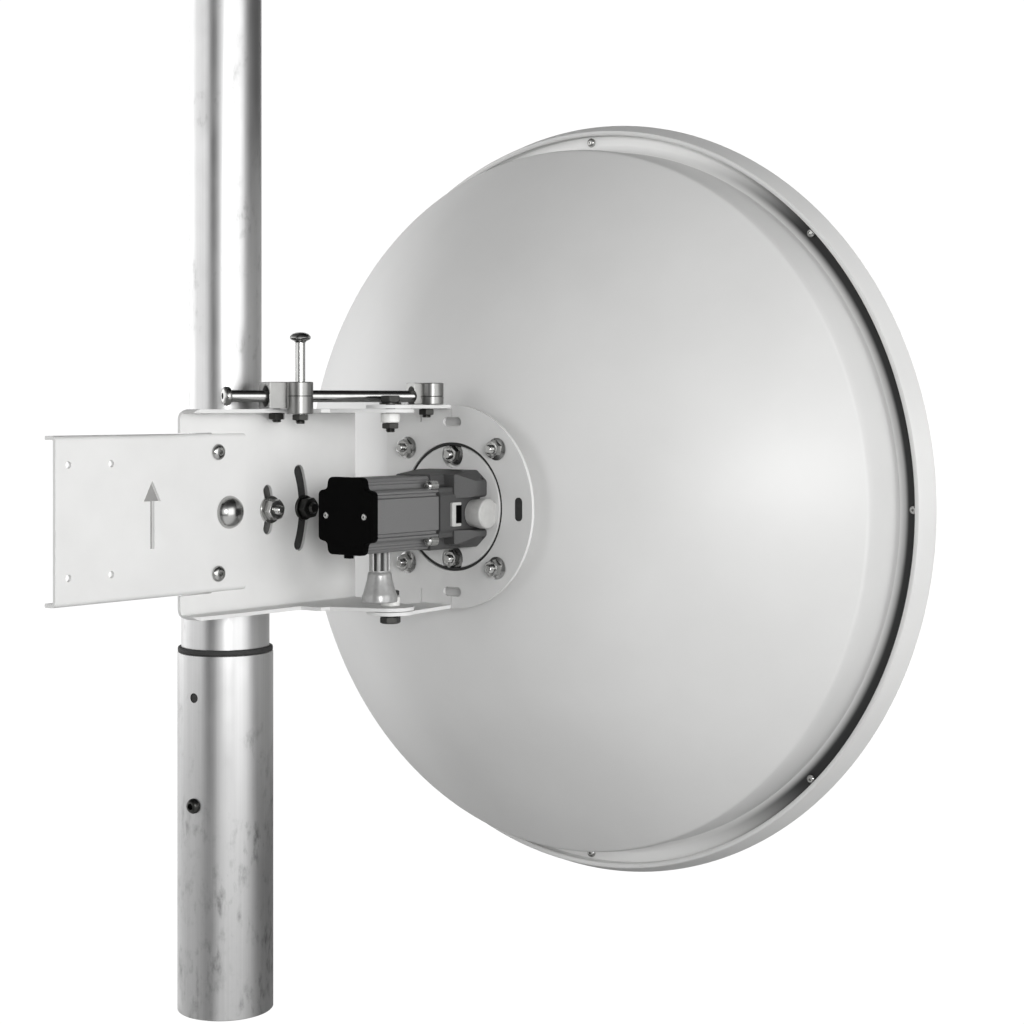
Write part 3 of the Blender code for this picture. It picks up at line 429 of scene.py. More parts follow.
def button_screw(radius, height, socket, shank, tip, axes, centre):
    """A low domed head over a plain shank, with a hexagon socket. It looks along its own -Z."""
    section = [(0, tip), (shank - 0.5, tip), (shank, tip - 0.5), (shank, 0), (radius - 0.3, 0),
               (radius, -0.3), (radius, -0.35 * height), (radius * 0.9, -0.65 * height),
               (radius * 0.72, -0.9 * height), (radius * 0.5, -height), (0, -height)]
    screw = carved(spun(section, 32), six_sided(socket, -height - 1, -0.3 * height))
    return placed(screw, axes, centre)


stainless = varied("stainless_steel", 0.009, 4, "#a2a2a1", "#c0c0be", (0.16, 0.26), Metallic=1.0)
# Dark steel. On the outer bolt its dark is painted shade for the end cap's shadow.
dark_steel = varied("dark_steel_and_painted_shade", 0.003, 4, "#2e2e2d", "#4a4a48", 0.36, Metallic=1.0)
wall_place = screw_side @ Vector((0, -40, screw_z))
put(button_screw(6.2, 4.6, 5.0, 4.0, 12, screw_side @ ALONG_Y, wall_place), "locking_screw",
    dark_steel, "mast", "steel_fasteners", "mast_locking_screw")
# A black disc in the spare hole is painted shade for the dark inside it.
spare_hole_shade_disc = spun([(0, -37.3), (3.8, -37.3), (3.8, -38.9), (3.3, -39.3), (0, -39.3)], 32,
            screw_side @ ALONG_Y, (0, 0, spare_hole_z))
put(spare_hole_shade_disc, "spare_hole_painted_shade", rubber, "mast", "rubber")


# The clamp is two zinc-plated castings, hollowed to the upper pipe and pulled together by two
# through bolts. The far one has pockets between its ribs to save metal.
AXIS_Z = 420


def rounded(corners, steps=5):
    """An outline of corners (x, y, radius), each one rounded with its own radius."""
    outline = []
    for i, (x, y, radius) in enumerate(corners):
        here = Vector((x, y))
        if not radius:
            outline.append(here)
            continue
        back = (Vector(corners[i - 1][:2]) - here).normalized()
        ahead = (Vector(corners[(i + 1) % len(corners)][:2]) - here).normalized()
        half = back.angle(ahead) / 2
        centre = here + (back + ahead).normalized() * radius / math.sin(half)
        arm = here + back * radius / math.tan(half) - centre
        side = 1 if back.x * ahead.y - back.y * ahead.x < 0 else -1
        for k in range(steps + 1):
            turn = Matrix.Rotation(side * (math.pi - 2 * half) * k / steps, 2)
            outline.append(centre + turn @ arm)
    return [tuple(point) for point in outline]


def arc(centre, radius, start, end, steps):
    """Points on an arc between two angles in degrees."""
    angles = [math.radians(start + (end - start) * i / steps) for i in range(steps + 1)]
    return [(centre[0] + radius * math.cos(a), centre[1] + radius * math.sin(a)) for a in angles]


def eased(shape, width, angle=35, segments=2):
    """Round every edge sharper than an angle."""
    edges = [edge for edge in shape.edges
             if len(edge.link_faces) == 2 and edge.calc_face_angle() > math.radians(angle)]
    bmesh.ops.bevel(shape, geom=edges, offset=width, offset_type="OFFSET", affect="EDGES",
                    segments=segments, profile=0.5, clamp_overlap=True, material=-1)
    return shape


def bore(radius, low, high, axes, centre, steps=32):
    """A round cutter."""
    return spun([(0, high), (radius, high), (radius, low), (0, low)], steps, axes, centre)


zinc = varied("zinc_plated_casting", 0.018, 4, "#747473", "#9c9c9a", (0.26, 0.46),
              (0.0016, 6, 0.25, 0.00006), Metallic=1.0)
PIVOT_Y = -40.5
OUTER_BOLT_Y = 47.5
STUD_Y = 8.0
saddle_half = 58.5
saddle_rise = 36
seat = 30.45
split = 12
reach = math.degrees(math.acos(split / seat))
for side, node in ((1, "clamp_near_saddle"), (-1, "clamp_far_saddle")):
    outline = rounded([(split, -saddle_half, 0), (41.7, -saddle_half, 4),
                       (41.7, saddle_half, 4), (split, saddle_half, 0)])
    outline += arc((0, 0), seat, reach, -reach, 28)
    outline = [(side * x, y) for x, y in outline]
    block = prism(outline, AXIS_Z - saddle_rise, AXIS_Z + saddle_rise)
    tools = [bore(5.6, -60, 60, ALONG_X, (0, y, AXIS_Z)) for y in (PIVOT_Y, OUTER_BOLT_Y)]
    if side == 1:
        tools.append(bore(4.6, 32.5, 50, ALONG_X, (0, STUD_Y, AXIS_Z)))
    else:
        for y in (-22, 28):
            for z in (-23, 23):
                pocket = [(y - 7, z - 9, 3), (y + 7, z - 9, 3), (y + 7, z + 9, 3),
                          (y - 7, z + 9, 3)]
                tools.append(prism(rounded(pocket), -45, -36.5, ALONG_X, (0, 0, AXIS_Z)))
    block = eased(carved(block, joined(*tools)), 0.8)
    put(block, node + "_casting", zinc, "mast", "zinc_castings", node)


# Two M10 through bolts and one M8 stud hold the plates on the clamp. The pivot bolt has a high
# domed head and is stainless like the stud. The outer bolt has a hexagon head, and its dark steel
# is painted shade for the end cap's shadow; a black sheet behind its slot is painted shade too.
# All have rolled threads.
def chamfered_hexagon(across, low, high, axes=None, centre=(0, 0, 0)):
    """A six-sided head or nut whose corners are turned off at both ends."""
    corner = across / math.sqrt(3)
    drop = (corner - across * 0.47) * 0.6
    section = [(0, high), (across * 0.47, high), (corner + 0.1, high - drop),
               (corner + 0.1, low + drop), (across * 0.47, low), (0, low)]
    bar = six_sided(across, low - 1, high + 1)
    return placed(carved(bar, spun(section, 48), "INTERSECT"), axes, centre)


def threaded(radius, pitch, low, high, axes=None, centre=(0, 0, 0)):
    """A bar with a screw thread and a chamfered tip at each end."""
    steps = 20
    root = radius - 0.58 * pitch
    section = [(root, 0.0), (radius, 0.4), (radius, 0.5), (root, 0.9), (root, 1.0)]
    shape = bmesh.new()
    rows = []
    for i in range(int((high - low) / pitch - 1) * steps + 1):
        turn = math.tau * i / steps
        rows.append([shape.verts.new((r * math.cos(turn), r * math.sin(turn),
                                      low + pitch * (i / steps + k))) for r, k in section])
    for here, ahead in zip(rows, rows[1:]):
        for k in range(4):
            shape.faces.new((here[k], ahead[k], ahead[k + 1], here[k + 1]))
    bmesh.ops.remove_doubles(shape, verts=shape.verts, dist=0.001)
    settled(shape)
    core = [(0, high), (root - 0.5, high), (root + 0.02, high - 0.5), (root + 0.02, low + 0.5),
            (root - 0.5, low), (0, low)]
    return placed(joined(shape, spun(core, steps)), axes, centre)


def washer(outer, inner, low, high, axes=None, centre=(0, 0, 0)):
    """A flat washer with eased rims."""
    section = [(inner, high), (outer - 0.25, high), (outer, high - 0.25), (outer, low),
               (inner, low)]
    return spun(section, 40, axes, centre, ring=True)


def far_end(centre):
    """The threaded end of an M10 through bolt behind the far saddle, with its nut."""
    return joined(threaded(5, 1.5, -58, -43, ALONG_X, centre),
                  chamfered_hexagon(17, -52, -42.3, ALONG_X, centre))


PLATE_FACE = 45.3
ARM_FACE = 48.6
dome = [(13.4, 0), (13.3, 0.9), (12.6, 2.8), (11.2, 5.0), (9.0, 7.0), (6.2, 8.5), (3.2, 9.3),
        (0, 9.5)]
section = [(radius, ARM_FACE + high) for radius, high in reversed(dome)]
section += [(5, ARM_FACE), (5, -43), (0, -43)]
centre = (0, PIVOT_Y, AXIS_Z)
bolt = joined(spun(section, 48, ALONG_X, centre), far_end(centre))
put(bolt, "pivot_bolt", stainless, "mast", "steel_fasteners", "elevation_pivot_bolt")

centre = (0, OUTER_BOLT_Y, AXIS_Z)
bolt = joined(washer(10.5, 5.2, PLATE_FACE, PLATE_FACE + 2, ALONG_X, centre),
              chamfered_hexagon(16, PLATE_FACE + 2, PLATE_FACE + 9.5, ALONG_X, centre),
              bore(5, -43, PLATE_FACE + 11, ALONG_X, centre),
              spun([(0, PLATE_FACE + 13), (3.6, PLATE_FACE + 13), (5, PLATE_FACE + 11), (0, 50)],
                   32, ALONG_X, centre),
              far_end(centre))
# The outer bolt's dark steel is painted shade: the end cap's shadow falls on it.
put(bolt, "outer_bolt", dark_steel, "mast", "steel_fasteners", "clamp_outer_bolt")
# A black sheet behind the outer slot is painted shade for the dark inside the slot.
slot_shade_pad = eased(prism([(38, AXIS_Z - 35), (55, AXIS_Z - 35), (55, AXIS_Z + 35), (38, AXIS_Z + 35)],
                  41.2, 41.95, ALONG_X), 0.2)
put(slot_shade_pad, "outer_slot_painted_shade", rubber, "mast", "rubber")

centre = (0, STUD_Y, AXIS_Z)
stud = joined(bore(4, 32.8, PLATE_FACE + 9, ALONG_X, centre),
              washer(11.5, 4.2, PLATE_FACE, PLATE_FACE + 1.6, ALONG_X, centre),
              chamfered_hexagon(16, PLATE_FACE + 1.6, PLATE_FACE + 9, ALONG_X, centre),
              threaded(4, 1.25, PLATE_FACE + 8, PLATE_FACE + 14, ALONG_X, centre))
put(stud, "lock_stud", stainless, "mast", "steel_fasteners", "elevation_lock_stud")


# The bracket's side plate is 3 mm steel, folded to two flanges and powder-coated white. Its web
# has two arc slots for the elevation, slits beside the arm and holes for the screws.
def bent_slot(centre, radius, half_angle, width):
    """Outline of a slot along an arc about a centre, with round ends."""
    start = math.radians(half_angle)
    ends = [(centre[0] + radius * math.cos(start), centre[1] + side * radius * math.sin(start))
            for side in (-1, 1)]
    outline = arc(centre, radius + width / 2, -half_angle, half_angle, 16)
    outline += arc(ends[1], width / 2, half_angle + 15, half_angle + 165, 9)
    outline += arc(centre, radius - width / 2, half_angle, -half_angle, 16)
    outline += arc(ends[0], width / 2, -half_angle - 165, -half_angle - 15, 9)
    return outline


bracket_coat = varied("white_powder_coat", 0.035, 5, "#d1d1d0", "#dddddc", 0.5,
                      (0.0013, 2, 0.2, 0.00004))
SWIVEL = Vector((122, 72))
ROD_START = Vector((66, 0))
ROD_END = Vector((121, 118.5))
along = (ROD_END - ROD_START).normalized()
across = Vector((along.y, -along.x))
REAR_PIN = ROD_START - across * 10
ARM_SCREW_Y = -53
ARM_SCREW_RISE = 49
axis_place = (0, 0, AXIS_Z)
fold = [(-83.5, 146, 0), (-83.5, 42, 4.5), (83.5, 42, 4.5), (83.5, 146, 0), (80.5, 146, 0),
        (80.5, 45, 1.5), (-80.5, 45, 1.5), (-80.5, 146, 0)]
plate = prism(rounded(fold), -92, 112, ALONG_Y, axis_place)
plan = [(40, -90), (56, -90), (62, -84), (64, -40), (64, 20), (65.5, 24), (70, 26), (80, 26),
        (85, 28), (87, 36)] + arc(SWIVEL, 20, -73, 62, 16)
plan += [(66, 109), (60, 111), (40, 111)]
plate = carved(plate, prism(plan, AXIS_Z - 90, AXIS_Z + 90), "INTERSECT")
face = [(-90, -84, 9), (115, -84, 0), (115, 84, 0), (-90, 84, 9)]
plate = carved(plate, prism(rounded(face), 30, 160, ALONG_X, axis_place), "INTERSECT")
pivot = (PIVOT_Y, 0)
tools = [prism(bent_slot(pivot, STUD_Y - PIVOT_Y, 19, 9.6), 38, 50, ALONG_X, axis_place),
         prism(bent_slot(pivot, OUTER_BOLT_Y - PIVOT_Y, 20.5, 11.1), 38, 50, ALONG_X,
               axis_place),
         bore(5.6, 38, 50, ALONG_X, (0, PIVOT_Y, AXIS_Z)),
         bore(4.6, -5, 5, None, (REAR_PIN.x, REAR_PIN.y, AXIS_Z + 82))]
for side in (1, -1):
    slit = [(-95, 60.3 * side), (-57, 60.3 * side), (-55.5, 62.5 * side), (-57, 64.7 * side),
            (-95, 64.7 * side)]
    tools.append(prism(slit, 38, 50, ALONG_X, axis_place))
    tools.append(bore(3.6, 38, 50, ALONG_X, (0, ARM_SCREW_Y, AXIS_Z + side * ARM_SCREW_RISE)))
    tools.append(bore(4.6, -5, 5, None, (SWIVEL.x, SWIVEL.y, AXIS_Z + side * 82)))
plate = eased(carved(plate, joined(*tools)), 0.4)
put(plate, "folded_side_plate", bracket_coat, "bracket", "white_bracket_coat", "side_plate")


# The arm is a 3 mm folded channel, coated like the side plate and screwed on its face. An arrow
# is cut through it to show its upper edge, and four small holes take cable ties.
fold = [(64, 35.8, 0), (64, 48.3, 4.2), (-64, 48.3, 4.2), (-64, 35.8, 0), (-61, 35.8, 0),
        (-61, 45.3, 1.2), (61, 45.3, 1.2), (61, 35.8, 0)]
arm = prism(rounded(fold), -214.5, -22, ALONG_Y, axis_place)
arrow = [(-123.4, -25), (-119.4, -25), (-119.4, 12), (-112.9, 12), (-121.4, 28),
         (-129.9, 12), (-123.4, 12)]
tools = [prism(arrow, 40, 55, ALONG_X, axis_place),
         bore(5.6, 40, 55, ALONG_X, (0, PIVOT_Y, AXIS_Z))]
for side in (1, -1):
    ends = sorted((side * 55, side * 70))
    away = [(-58, ends[0]), (-15, ends[0]), (-15, ends[1]), (-58, ends[1])]
    tools.append(prism(away, 30, 45.2, ALONG_X, axis_place))
    tools.append(bore(3.6, 40, 55, ALONG_X, (0, ARM_SCREW_Y, AXIS_Z + side * ARM_SCREW_RISE)))
    for y in (-202.5, -162):
        tools.append(bore(2.7, 40, 55, ALONG_X, (0, y, AXIS_Z + side * 42.2)))
arm = eased(carved(arm, joined(*tools)), 0.4)
put(arm, "folded_arm", bracket_coat, "bracket", "white_bracket_coat", "arm_plate")


# Two M6 button head screws hold the arm on the side plate, one above and one below the pivot.
# They are stainless, with hexagon nuts behind the plate.
for side, node in ((1, "arm_screw_upper"), (-1, "arm_screw_lower")):
    centre = (ARM_FACE, ARM_SCREW_Y, AXIS_Z + side * ARM_SCREW_RISE)
    backward = ALONG_X @ Matrix.Diagonal((1, -1, -1))
    screw = joined(button_screw(6.5, 3.6, 4.0, 3.0, 7, backward, centre),
                   chamfered_hexagon(10, -11, -6.9, ALONG_X, centre))
    put(screw, node + "_head", stainless, "bracket", "steel_fasteners", node)


# The hub plate swivels on two upright M8 bolts. White nylon bosses under the flanges take the
# play out, and each bolt has a hexagon head outside and a nut inside, in dark grey steel.
nylon = varied("white_nylon", 0.006, 3, "#dcdcd9", "#efefed", 0.38, subsurface=0.15)
for side, end in ((1, "upper"), (-1, "lower")):
    axes = Matrix.Diagonal((1, side, side))
    centre = (SWIVEL.x, SWIVEL.y, AXIS_Z)
    section = [(4.6, 80.2), (7.4, 80.2), (8, 79.6), (8, 73.0), (7.2, 72.2), (4.6, 72.2)]
    put(spun(section, 40, axes, centre, ring=True), f"nylon_boss_{end}", nylon, "bracket",
        "white_plastic", f"swivel_boss_{end}")
    bolt = joined(washer(9.2, 4.2, 87.3, 89.0, axes, centre),
                  chamfered_hexagon(15, 89.0, 94.8, axes, centre),
                  bore(4, 72, 90, axes, centre),
                  chamfered_hexagon(13, 67.2, 71.9, axes, centre),
                  threaded(4, 1.25, 64.2, 73, axes, centre))
    put(bolt, f"swivel_bolt_{end}_steel", dark_steel, "bracket", "steel_fasteners",
        f"swivel_bolt_{end}")


# The rear block swivels on the side plate's upper flange. It is a zinc-plated block with an
# upright barrel that is split level with the rod, and the rod slides through its wide hole. A
# dark steel pin with a nut holds it on the flange.
ROD_Z = 514.2
rod_axes = Matrix(((-across.x, 0, along.x), (-across.y, 0, along.y), (0, 1, 0)))


def along_rod(centre, back, front, left, right):
    """Outline of a block that follows the rod in plan."""
    corners = [(back, left), (back, right), (front, right), (front, left)]
    return [tuple(centre + along * a + across * b) for a, b in corners]


def barrel_with_seam(radius, low, high, centre):
    """An upright round barrel with eased rims and a fine seam level with the rod."""
    section = [(0, high), (radius - 0.6, high), (radius, high - 0.6), (radius, ROD_Z + 0.35),
               (radius - 0.6, ROD_Z), (radius, ROD_Z - 0.35), (radius, low + 0.6),
               (radius - 0.6, low), (0, low)]
    return spun(section, 48, None, (centre.x, centre.y, 0))


def rod_entry(hole, mouth, centre, face, reach):
    """A cutter for the rod's hole with a wide countersink at its rear face."""
    section = [(0, reach), (hole, reach), (hole, face + 4.5), (mouth, face - 0.2),
               (mouth, face - 5), (0, face - 5)]
    return spun(section, 32, rod_axes, (centre.x, centre.y, ROD_Z))


def pin_end(tip, top, low, high, centre):
    """The threaded end of an M8 pin under a flange, with its nut."""
    return joined(threaded(4, 1.25, tip, top, None, centre),
                  chamfered_hexagon(12, low, high, None, centre))


rear_top = 525.8
rear_seat = AXIS_Z + 83.8
barrel_centre = ROD_START + along * 12 + across * 14
block = eased(prism(along_rod(ROD_START, -13, 8, -18, 10), rear_seat, rear_top), 0.7)
block = carved(block, barrel_with_seam(10.5, 499.5, rear_top, barrel_centre), "UNION")
block = carved(block, rod_entry(6.2, 9.2, ROD_START, -13, 40))
block = carved(block, bore(4.3, 490, 530, None, (barrel_centre.x, barrel_centre.y, 0)))
pin = (REAR_PIN.x, REAR_PIN.y, 0)
put(block, "rear_swivel_block", zinc, "rear_block", "zinc_castings", "rod_block_rear")
put(pin_end(492.6, 503.9, 494.9, 500.2, pin), "rear_block_pin", dark_steel, "rear_block",
    "steel_fasteners")


# A long stainless M8 screw stands in the rear block's barrel and locks the rod. Its mushroom head
# is high above the block, in reach of a hand, and a dark steel nut holds it under the flange.
lock = (barrel_centre.x, barrel_centre.y, 0)
section = [(0, 566.4), (3.6, 566.1), (6.6, 565.0), (8.3, 563.2), (8.6, 561.6), (7.6, 560.2),
           (5.2, 559.2), (4.0, 557.8), (4.0, 498), (0, 498)]
put(spun(section, 48, None, lock), "rod_lock_screw", stainless, "rear_block",
    "steel_fasteners", "rod_lock_bolt")
put(pin_end(491.5, 497.9, 494.4, 499.2, lock), "rod_lock_nut", dark_steel, "rear_block",
    "steel_fasteners")


# The front block turns on the hub plate's upper flange and holds the rod's end. It is made and
# pinned like the rear one, with a smaller barrel beside the rod.
front_top = 525.6
front_seat = AXIS_Z + 87.3
front_barrel = ROD_END + along * 2 + across * 8
block = eased(prism(along_rod(ROD_END, -14, 6, -11, 7), front_seat, front_top), 0.7)
block = carved(block, barrel_with_seam(9.5, front_seat, front_top, front_barrel), "UNION")
block = carved(block, rod_entry(5.3, 8.8, ROD_END, -14, 3))
pin = (ROD_END.x, ROD_END.y, 0)
put(block, "front_swivel_block", zinc, "adjuster", "zinc_castings", "rod_block_front")
put(pin_end(496.2, 507.5, 498.4, 503.7, pin), "front_block_pin", dark_steel, "adjuster",
    "steel_fasteners")


# The adjusting rod is a smooth M10 stainless bar with a rounded head on its end, drilled through
# for a tommy bar. Its front end is held in the front block, and moving it swings the hub plate.
tail = -(ROD_END - ROD_START).length - 44
rod_end = (ROD_END.x, ROD_END.y, ROD_Z)
knob = spun([(0, tail + 1.5), (5, tail + 1.3), (7.2, tail + 0.2), (8, tail - 1.6),
             (7.8, tail - 3.4), (6.4, tail - 5), (4.6, tail - 5.6), (0, tail - 5.6)], 32)
knob = carved(knob, bore(2.6, tail - 8, tail - 3.4, None, (0, 0, 0)))
bar = joined(bore(5, tail + 1, 2.7, rod_axes, rod_end), placed(knob, rod_axes, rod_end))
put(bar, "adjusting_rod_bar", stainless, "adjuster", "steel_fasteners", "adjusting_rod")


# The hub plate is 3 mm steel with a D outline, coated white. Two folded flanges with round noses
# swivel on the bolts, and slots and nuts round its large hole hold the dish.
BORE_X = 134
NUT_CIRCLE = 70.5
HUB = (BORE_X, 137, AXIS_Z)
boresight = (BORE_X, 0, AXIS_Z)


def on_circle(centre, degrees, radius):
    """A point on a circle that stands square to the dish's axis."""
    angle = math.radians(degrees)
    return Vector(centre) + Vector((math.cos(angle), 0, math.sin(angle))) * radius


outline = [(-87, 59), (87, 59)] + arc((0, BORE_X), 87, 0, 180, 48)
plate = prism(outline, 137, 140, ALONG_Y, axis_place)
notches = [prism([(side * 72, 98), (side * 90, 98), (side * 90, 133), (side * 72, 133)], 130, 145,
                 ALONG_Y, axis_place) for side in (1, -1)]
plate = carved(plate, joined(*notches))
for side in (1, -1):
    bend = [(50, 87 * side, 0), (140, 87 * side, 4.5), (140, 71 * side, 0), (137, 71 * side, 0),
            (137, 84 * side, 1.5), (50, 84 * side, 0)]
    flange = prism(rounded(bend), 95, 145, ALONG_X, axis_place)
    plan = [(132, 142), (99, 142), (99, 86)] + arc(SWIVEL, 20, 165, 390, 30)
    ends = sorted((AXIS_Z + side * 60, AXIS_Z + side * 95))
    flange = carved(flange, prism(plan, ends[0], ends[1]), "INTERSECT")
    plate = carved(plate, flange, "UNION")
tools = [bore(55, -5, 8, ALONG_Y, HUB, 96),
         bore(4.6, -5, 5, None, (ROD_END.x, ROD_END.y, AXIS_Z + 86))]
for x, z, upright in ((72.5, 0, True), (0, 72.5, False), (0, -72.5, False)):
    slot = [(-10, -4, 3.99), (10, -4, 3.99), (10, 4, 3.99), (-10, 4, 3.99)]
    slot = [(z + a, BORE_X + x + b) if upright else (z + b, BORE_X + x + a)
            for a, b in rounded(slot)]
    tools.append(prism(slot, 130, 146, ALONG_Y, axis_place))
for number in range(4):
    tools.append(bore(4.6, -5, 8, ALONG_Y, on_circle(HUB, 45 + 90 * number, NUT_CIRCLE)))
for side in (1, -1):
    tools.append(bore(4.6, -5, 5, None, (SWIVEL.x, SWIVEL.y, AXIS_Z + side * 86)))
plate = eased(carved(plate, joined(*tools)), 0.4)
put(plate, "folded_hub_plate", bracket_coat, "dish_head", "white_bracket_coat", "hub_plate")


# A black rubber ring in the groove between the plate's hole and the casting is painted shade for
# the dark gap there, and a black rubber bung in the plate's side slot is painted shade for the
# dark inside the slot.
hole_shade_ring = spun([(52.5, 138.4), (54.7, 138.4), (54.7, 141.6), (52.5, 141.6)], 144, ALONG_Y,
              boresight, ring=True)
slot_shade_bung = prism(rounded([(-9.7, 68.8, 2.5), (9.7, 68.8, 2.5), (9.7, 76.2, 3.8), (-9.7, 76.2, 3.8)]),
             137.2, 139.6, ALONG_Y, boresight)
put(joined(hole_shade_ring, slot_shade_bung), "hub_painted_shade_rubber", rubber, "dish_head", "rubber")


# Four flanged nuts on studs hold the plate on the dish, and two more sit in its hole. They are
# stainless, with the studs' threaded ends standing out of them.
def nut_on_stud(flange, tip, root, centre):
    """A flanged hexagon nut that looks along -Y, with a threaded stud through it."""
    base = [(4, 0), (flange - 0.4, 0), (flange, -0.4), (flange, -1.0), (6.4, -2.6), (4, -2.6)]
    return joined(spun(base, 40, ALONG_Y, centre, ring=True),
                  chamfered_hexagon(13, -8.5, -1.0, ALONG_Y, centre),
                  bore(3.9, -1, root, ALONG_Y, centre),
                  threaded(4, 1.25, tip, -1, ALONG_Y, centre))


INNER_NUT_RISE = 44.5
for number in range(4):
    where = on_circle(HUB, 45 + 90 * number, NUT_CIRCLE)
    where.y -= 0.3
    put(nut_on_stud(9.5, -12.5, 3.2, where), f"flanged_nut_{number + 1}", stainless, "dish_head",
        "steel_fasteners", f"hub_nut_{number + 1}")
for side, end in ((1, "upper"), (-1, "lower")):
    where = Vector((BORE_X, 141.7, AXIS_Z + side * INNER_NUT_RISE))
    put(nut_on_stud(9.5, -11.5, 0, where), f"inner_nut_{end}", stainless, "dish_head",
        "steel_fasteners", f"hub_inner_bolt_{end}")


# The reflector is spun from 2 mm aluminium sheet with a deep gutter at its rim, and the casting
# behind the hub plate carries it. Both have a satin white coat that has picked up a little dust.
dish_coat = varied("satin_white_dish_coat", 0.09, 5, "#d2d2d1", "#dededd", (0.34, 0.46),
                   (0.002, 2, 0.12, 0.00004))
DISH_Y = 145.5
FOUR_F = 731.7
EDGE = 316.5
FLOOR = 338
radii = [EDGE * k / 44 for k in range(45)]
back = [(r, DISH_Y + r * r / FOUR_F) for r in radii]
crease = back[-1][1]
back += [(EDGE + 1.3, crease + 1.4), (EDGE + 2.2, crease + 3.2), (EDGE + 3.2, crease + 10),
         (EDGE + 3.9, FLOOR - 25), (EDGE + 4.4, FLOOR - 8)]
back += [(EDGE + 12.4 + 8 * math.cos(a), FLOOR - 8 + 8 * math.sin(a))
         for a in [math.radians(180 - 15 * k) for k in range(1, 7)]]
back += [(341.6, FLOOR), (341.9, FLOOR + 0.3)]
front = [(341.9, FLOOR + 1.7), (341.6, FLOOR + 2), (EDGE + 10.5, FLOOR + 2),
         (EDGE + 3.2, FLOOR - 4), (EDGE + 1.8, FLOOR - 25), (EDGE + 0.6, crease + 8)]
front += [(r * 0.995, DISH_Y + r * r / FOUR_F + 2 + r / 500) for r in reversed(radii)]
section = front[::-1] + back[::-1][:-1] + [(0, DISH_Y)]
put(spun(section, 240, ALONG_Y, boresight), "spun_reflector", dish_coat, "dish_head",
    "white_dish_coat", "reflector")

bowl = [(r, DISH_Y + r * r / FOUR_F - 0.5) for r in (0, 14, 28, 42, 56, 69)]
section = bowl + [(70, 150), (70, 141.3), (69, 140.3), (56, 140.3), (55.2, 141.0), (55, 142.0),
                  (52.2, 142.0), (52.2, 138.1), (51.6, 137.5), (0, 137.5)]
casting = spun(section, 144, ALONG_Y, boresight)
pockets = [bore(11.6, 130, 141.6, ALONG_Y, (BORE_X, 0, AXIS_Z + side * INNER_NUT_RISE), 40)
           for side in (1, -1)]
casting = carved(casting, joined(*pockets))
put(casting, "hub_casting_body", dish_coat, "dish_head", "hub_metal", "hub_casting")


# A thin shell lines the gutter's corner up to the rim ring, and its colour is painted shade and
# painted light: near black at the dish's sides, where shade falls deep in the gutter, and painted
# light toward the top, the bottom and the wall.
gutter_shade_paint, tree = new_material("painted_gutter_shade_and_light")
place = add(tree, "TexCoord").outputs["Object"]
middle = add(tree, "VectorMath", {0: place, 1: (BORE_X * MM, 0, AXIS_Z * MM)},
             operation="SUBTRACT").outputs[0]
flat = add(tree, "VectorMath", {0: middle, 1: (1, 0, 1)}, operation="MULTIPLY")
radius = add(tree, "VectorMath", {0: flat.outputs[0]}, operation="LENGTH").outputs["Value"]
height = add(tree, "SeparateXYZ", {"Vector": middle}).outputs["Z"]
# Painted shade: the mask is dark outward in the corner and at the dish's sides, and light
# elsewhere.
outward = spread(tree, radius, 0.3205, 0.3275, interpolation_type="SMOOTHSTEP")
sideward = spread(tree, calc(tree, "ABSOLUTE", height), 0.235, 0.325, 1.0, 0.0,
                  interpolation_type="SMOOTHSTEP")
painted_shade_level = calc(tree, "MULTIPLY", outward, sideward)
end_with(tree, add(tree, "BsdfPrincipled", {
    "Base Color": tinted(tree, painted_shade_level, "#eeeeed", "#1c1c1c"), "Roughness": 0.45}))
turns = [math.radians(a) for a in (160, 145, 130, 115, 100, 90)]
upper = [(328.9 + 7.75 * math.cos(a), 330 + 7.75 * math.sin(a)) for a in turns]
lower = [(328.9 + 8.2 * math.cos(a), 330 + 8.2 * math.sin(a)) for a in turns]
section = upper + [(337.0, 337.75), (337.0, 338.2)] + lower[::-1]
film = spun(section, 240, ALONG_Y, boresight, ring=True)
put(film, "gutter_painted_shade_film", gutter_shade_paint, "dish_head", "rubber")


# Eight small stainless screws in the gutter pin the radome and the rim ring to the reflector.
# Each has a low domed head with a hexagon socket.
for number in range(8):
    where = on_circle(boresight, 45 * number, 331.8)
    where.y = FLOOR - 0.05
    put(button_screw(4.2, 3.2, 2.5, 2.0, 1.5, ALONG_Y, where), f"rim_screw_{number + 1}",
        stainless, "dish_head", "steel_fasteners")


# The rim ring is rolled from aluminium strip with a rounded rear edge. It stands round the
# gutter, flares to the front and grips the radome's edge with its lip.
section = [(334.5, 348), (345.2, 348), (346.6, 347.7), (347.4, 346.6), (347.4, 345.2),
           (341.4, 328.8), (340.8, 327.9), (339.6, 327.5), (338.0, 327.7), (336.9, 328.6),
           (336.9, 329.6), (338.2, 330.4), (339.6, 331.0), (344.6, 346.2), (334.5, 346.2)]
put(spun(section, 240, ALONG_Y, boresight, ring=True), "rolled_rim_ring", dish_coat, "dish_head",
    "white_dish_coat", "rim_ring")


# The radome closes the dish with a low dome. It is vacuum-formed from 3 mm white plastic sheet,
# and its thick edge is held under the rim ring's lip.
radome_plastic = varied("vacuum_formed_plastic", 0.06, 5, "#dcdcd8", "#e8e8e5", 0.5)
crown = [(326 * k / 24, 345.9 + 16 * (1 - (k / 24) ** 2)) for k in range(25)]
section = crown + [(332, 345.6), (342, 345.6), (342, 340.4), (326, 340.4)]
section += [(r, y - 3) for r, y in reversed(crown[:-1])]
put(spun(section, 192, ALONG_Y, boresight), "radome_sheet", radome_plastic, "dish_head",
    "radome_plastic", "radome")


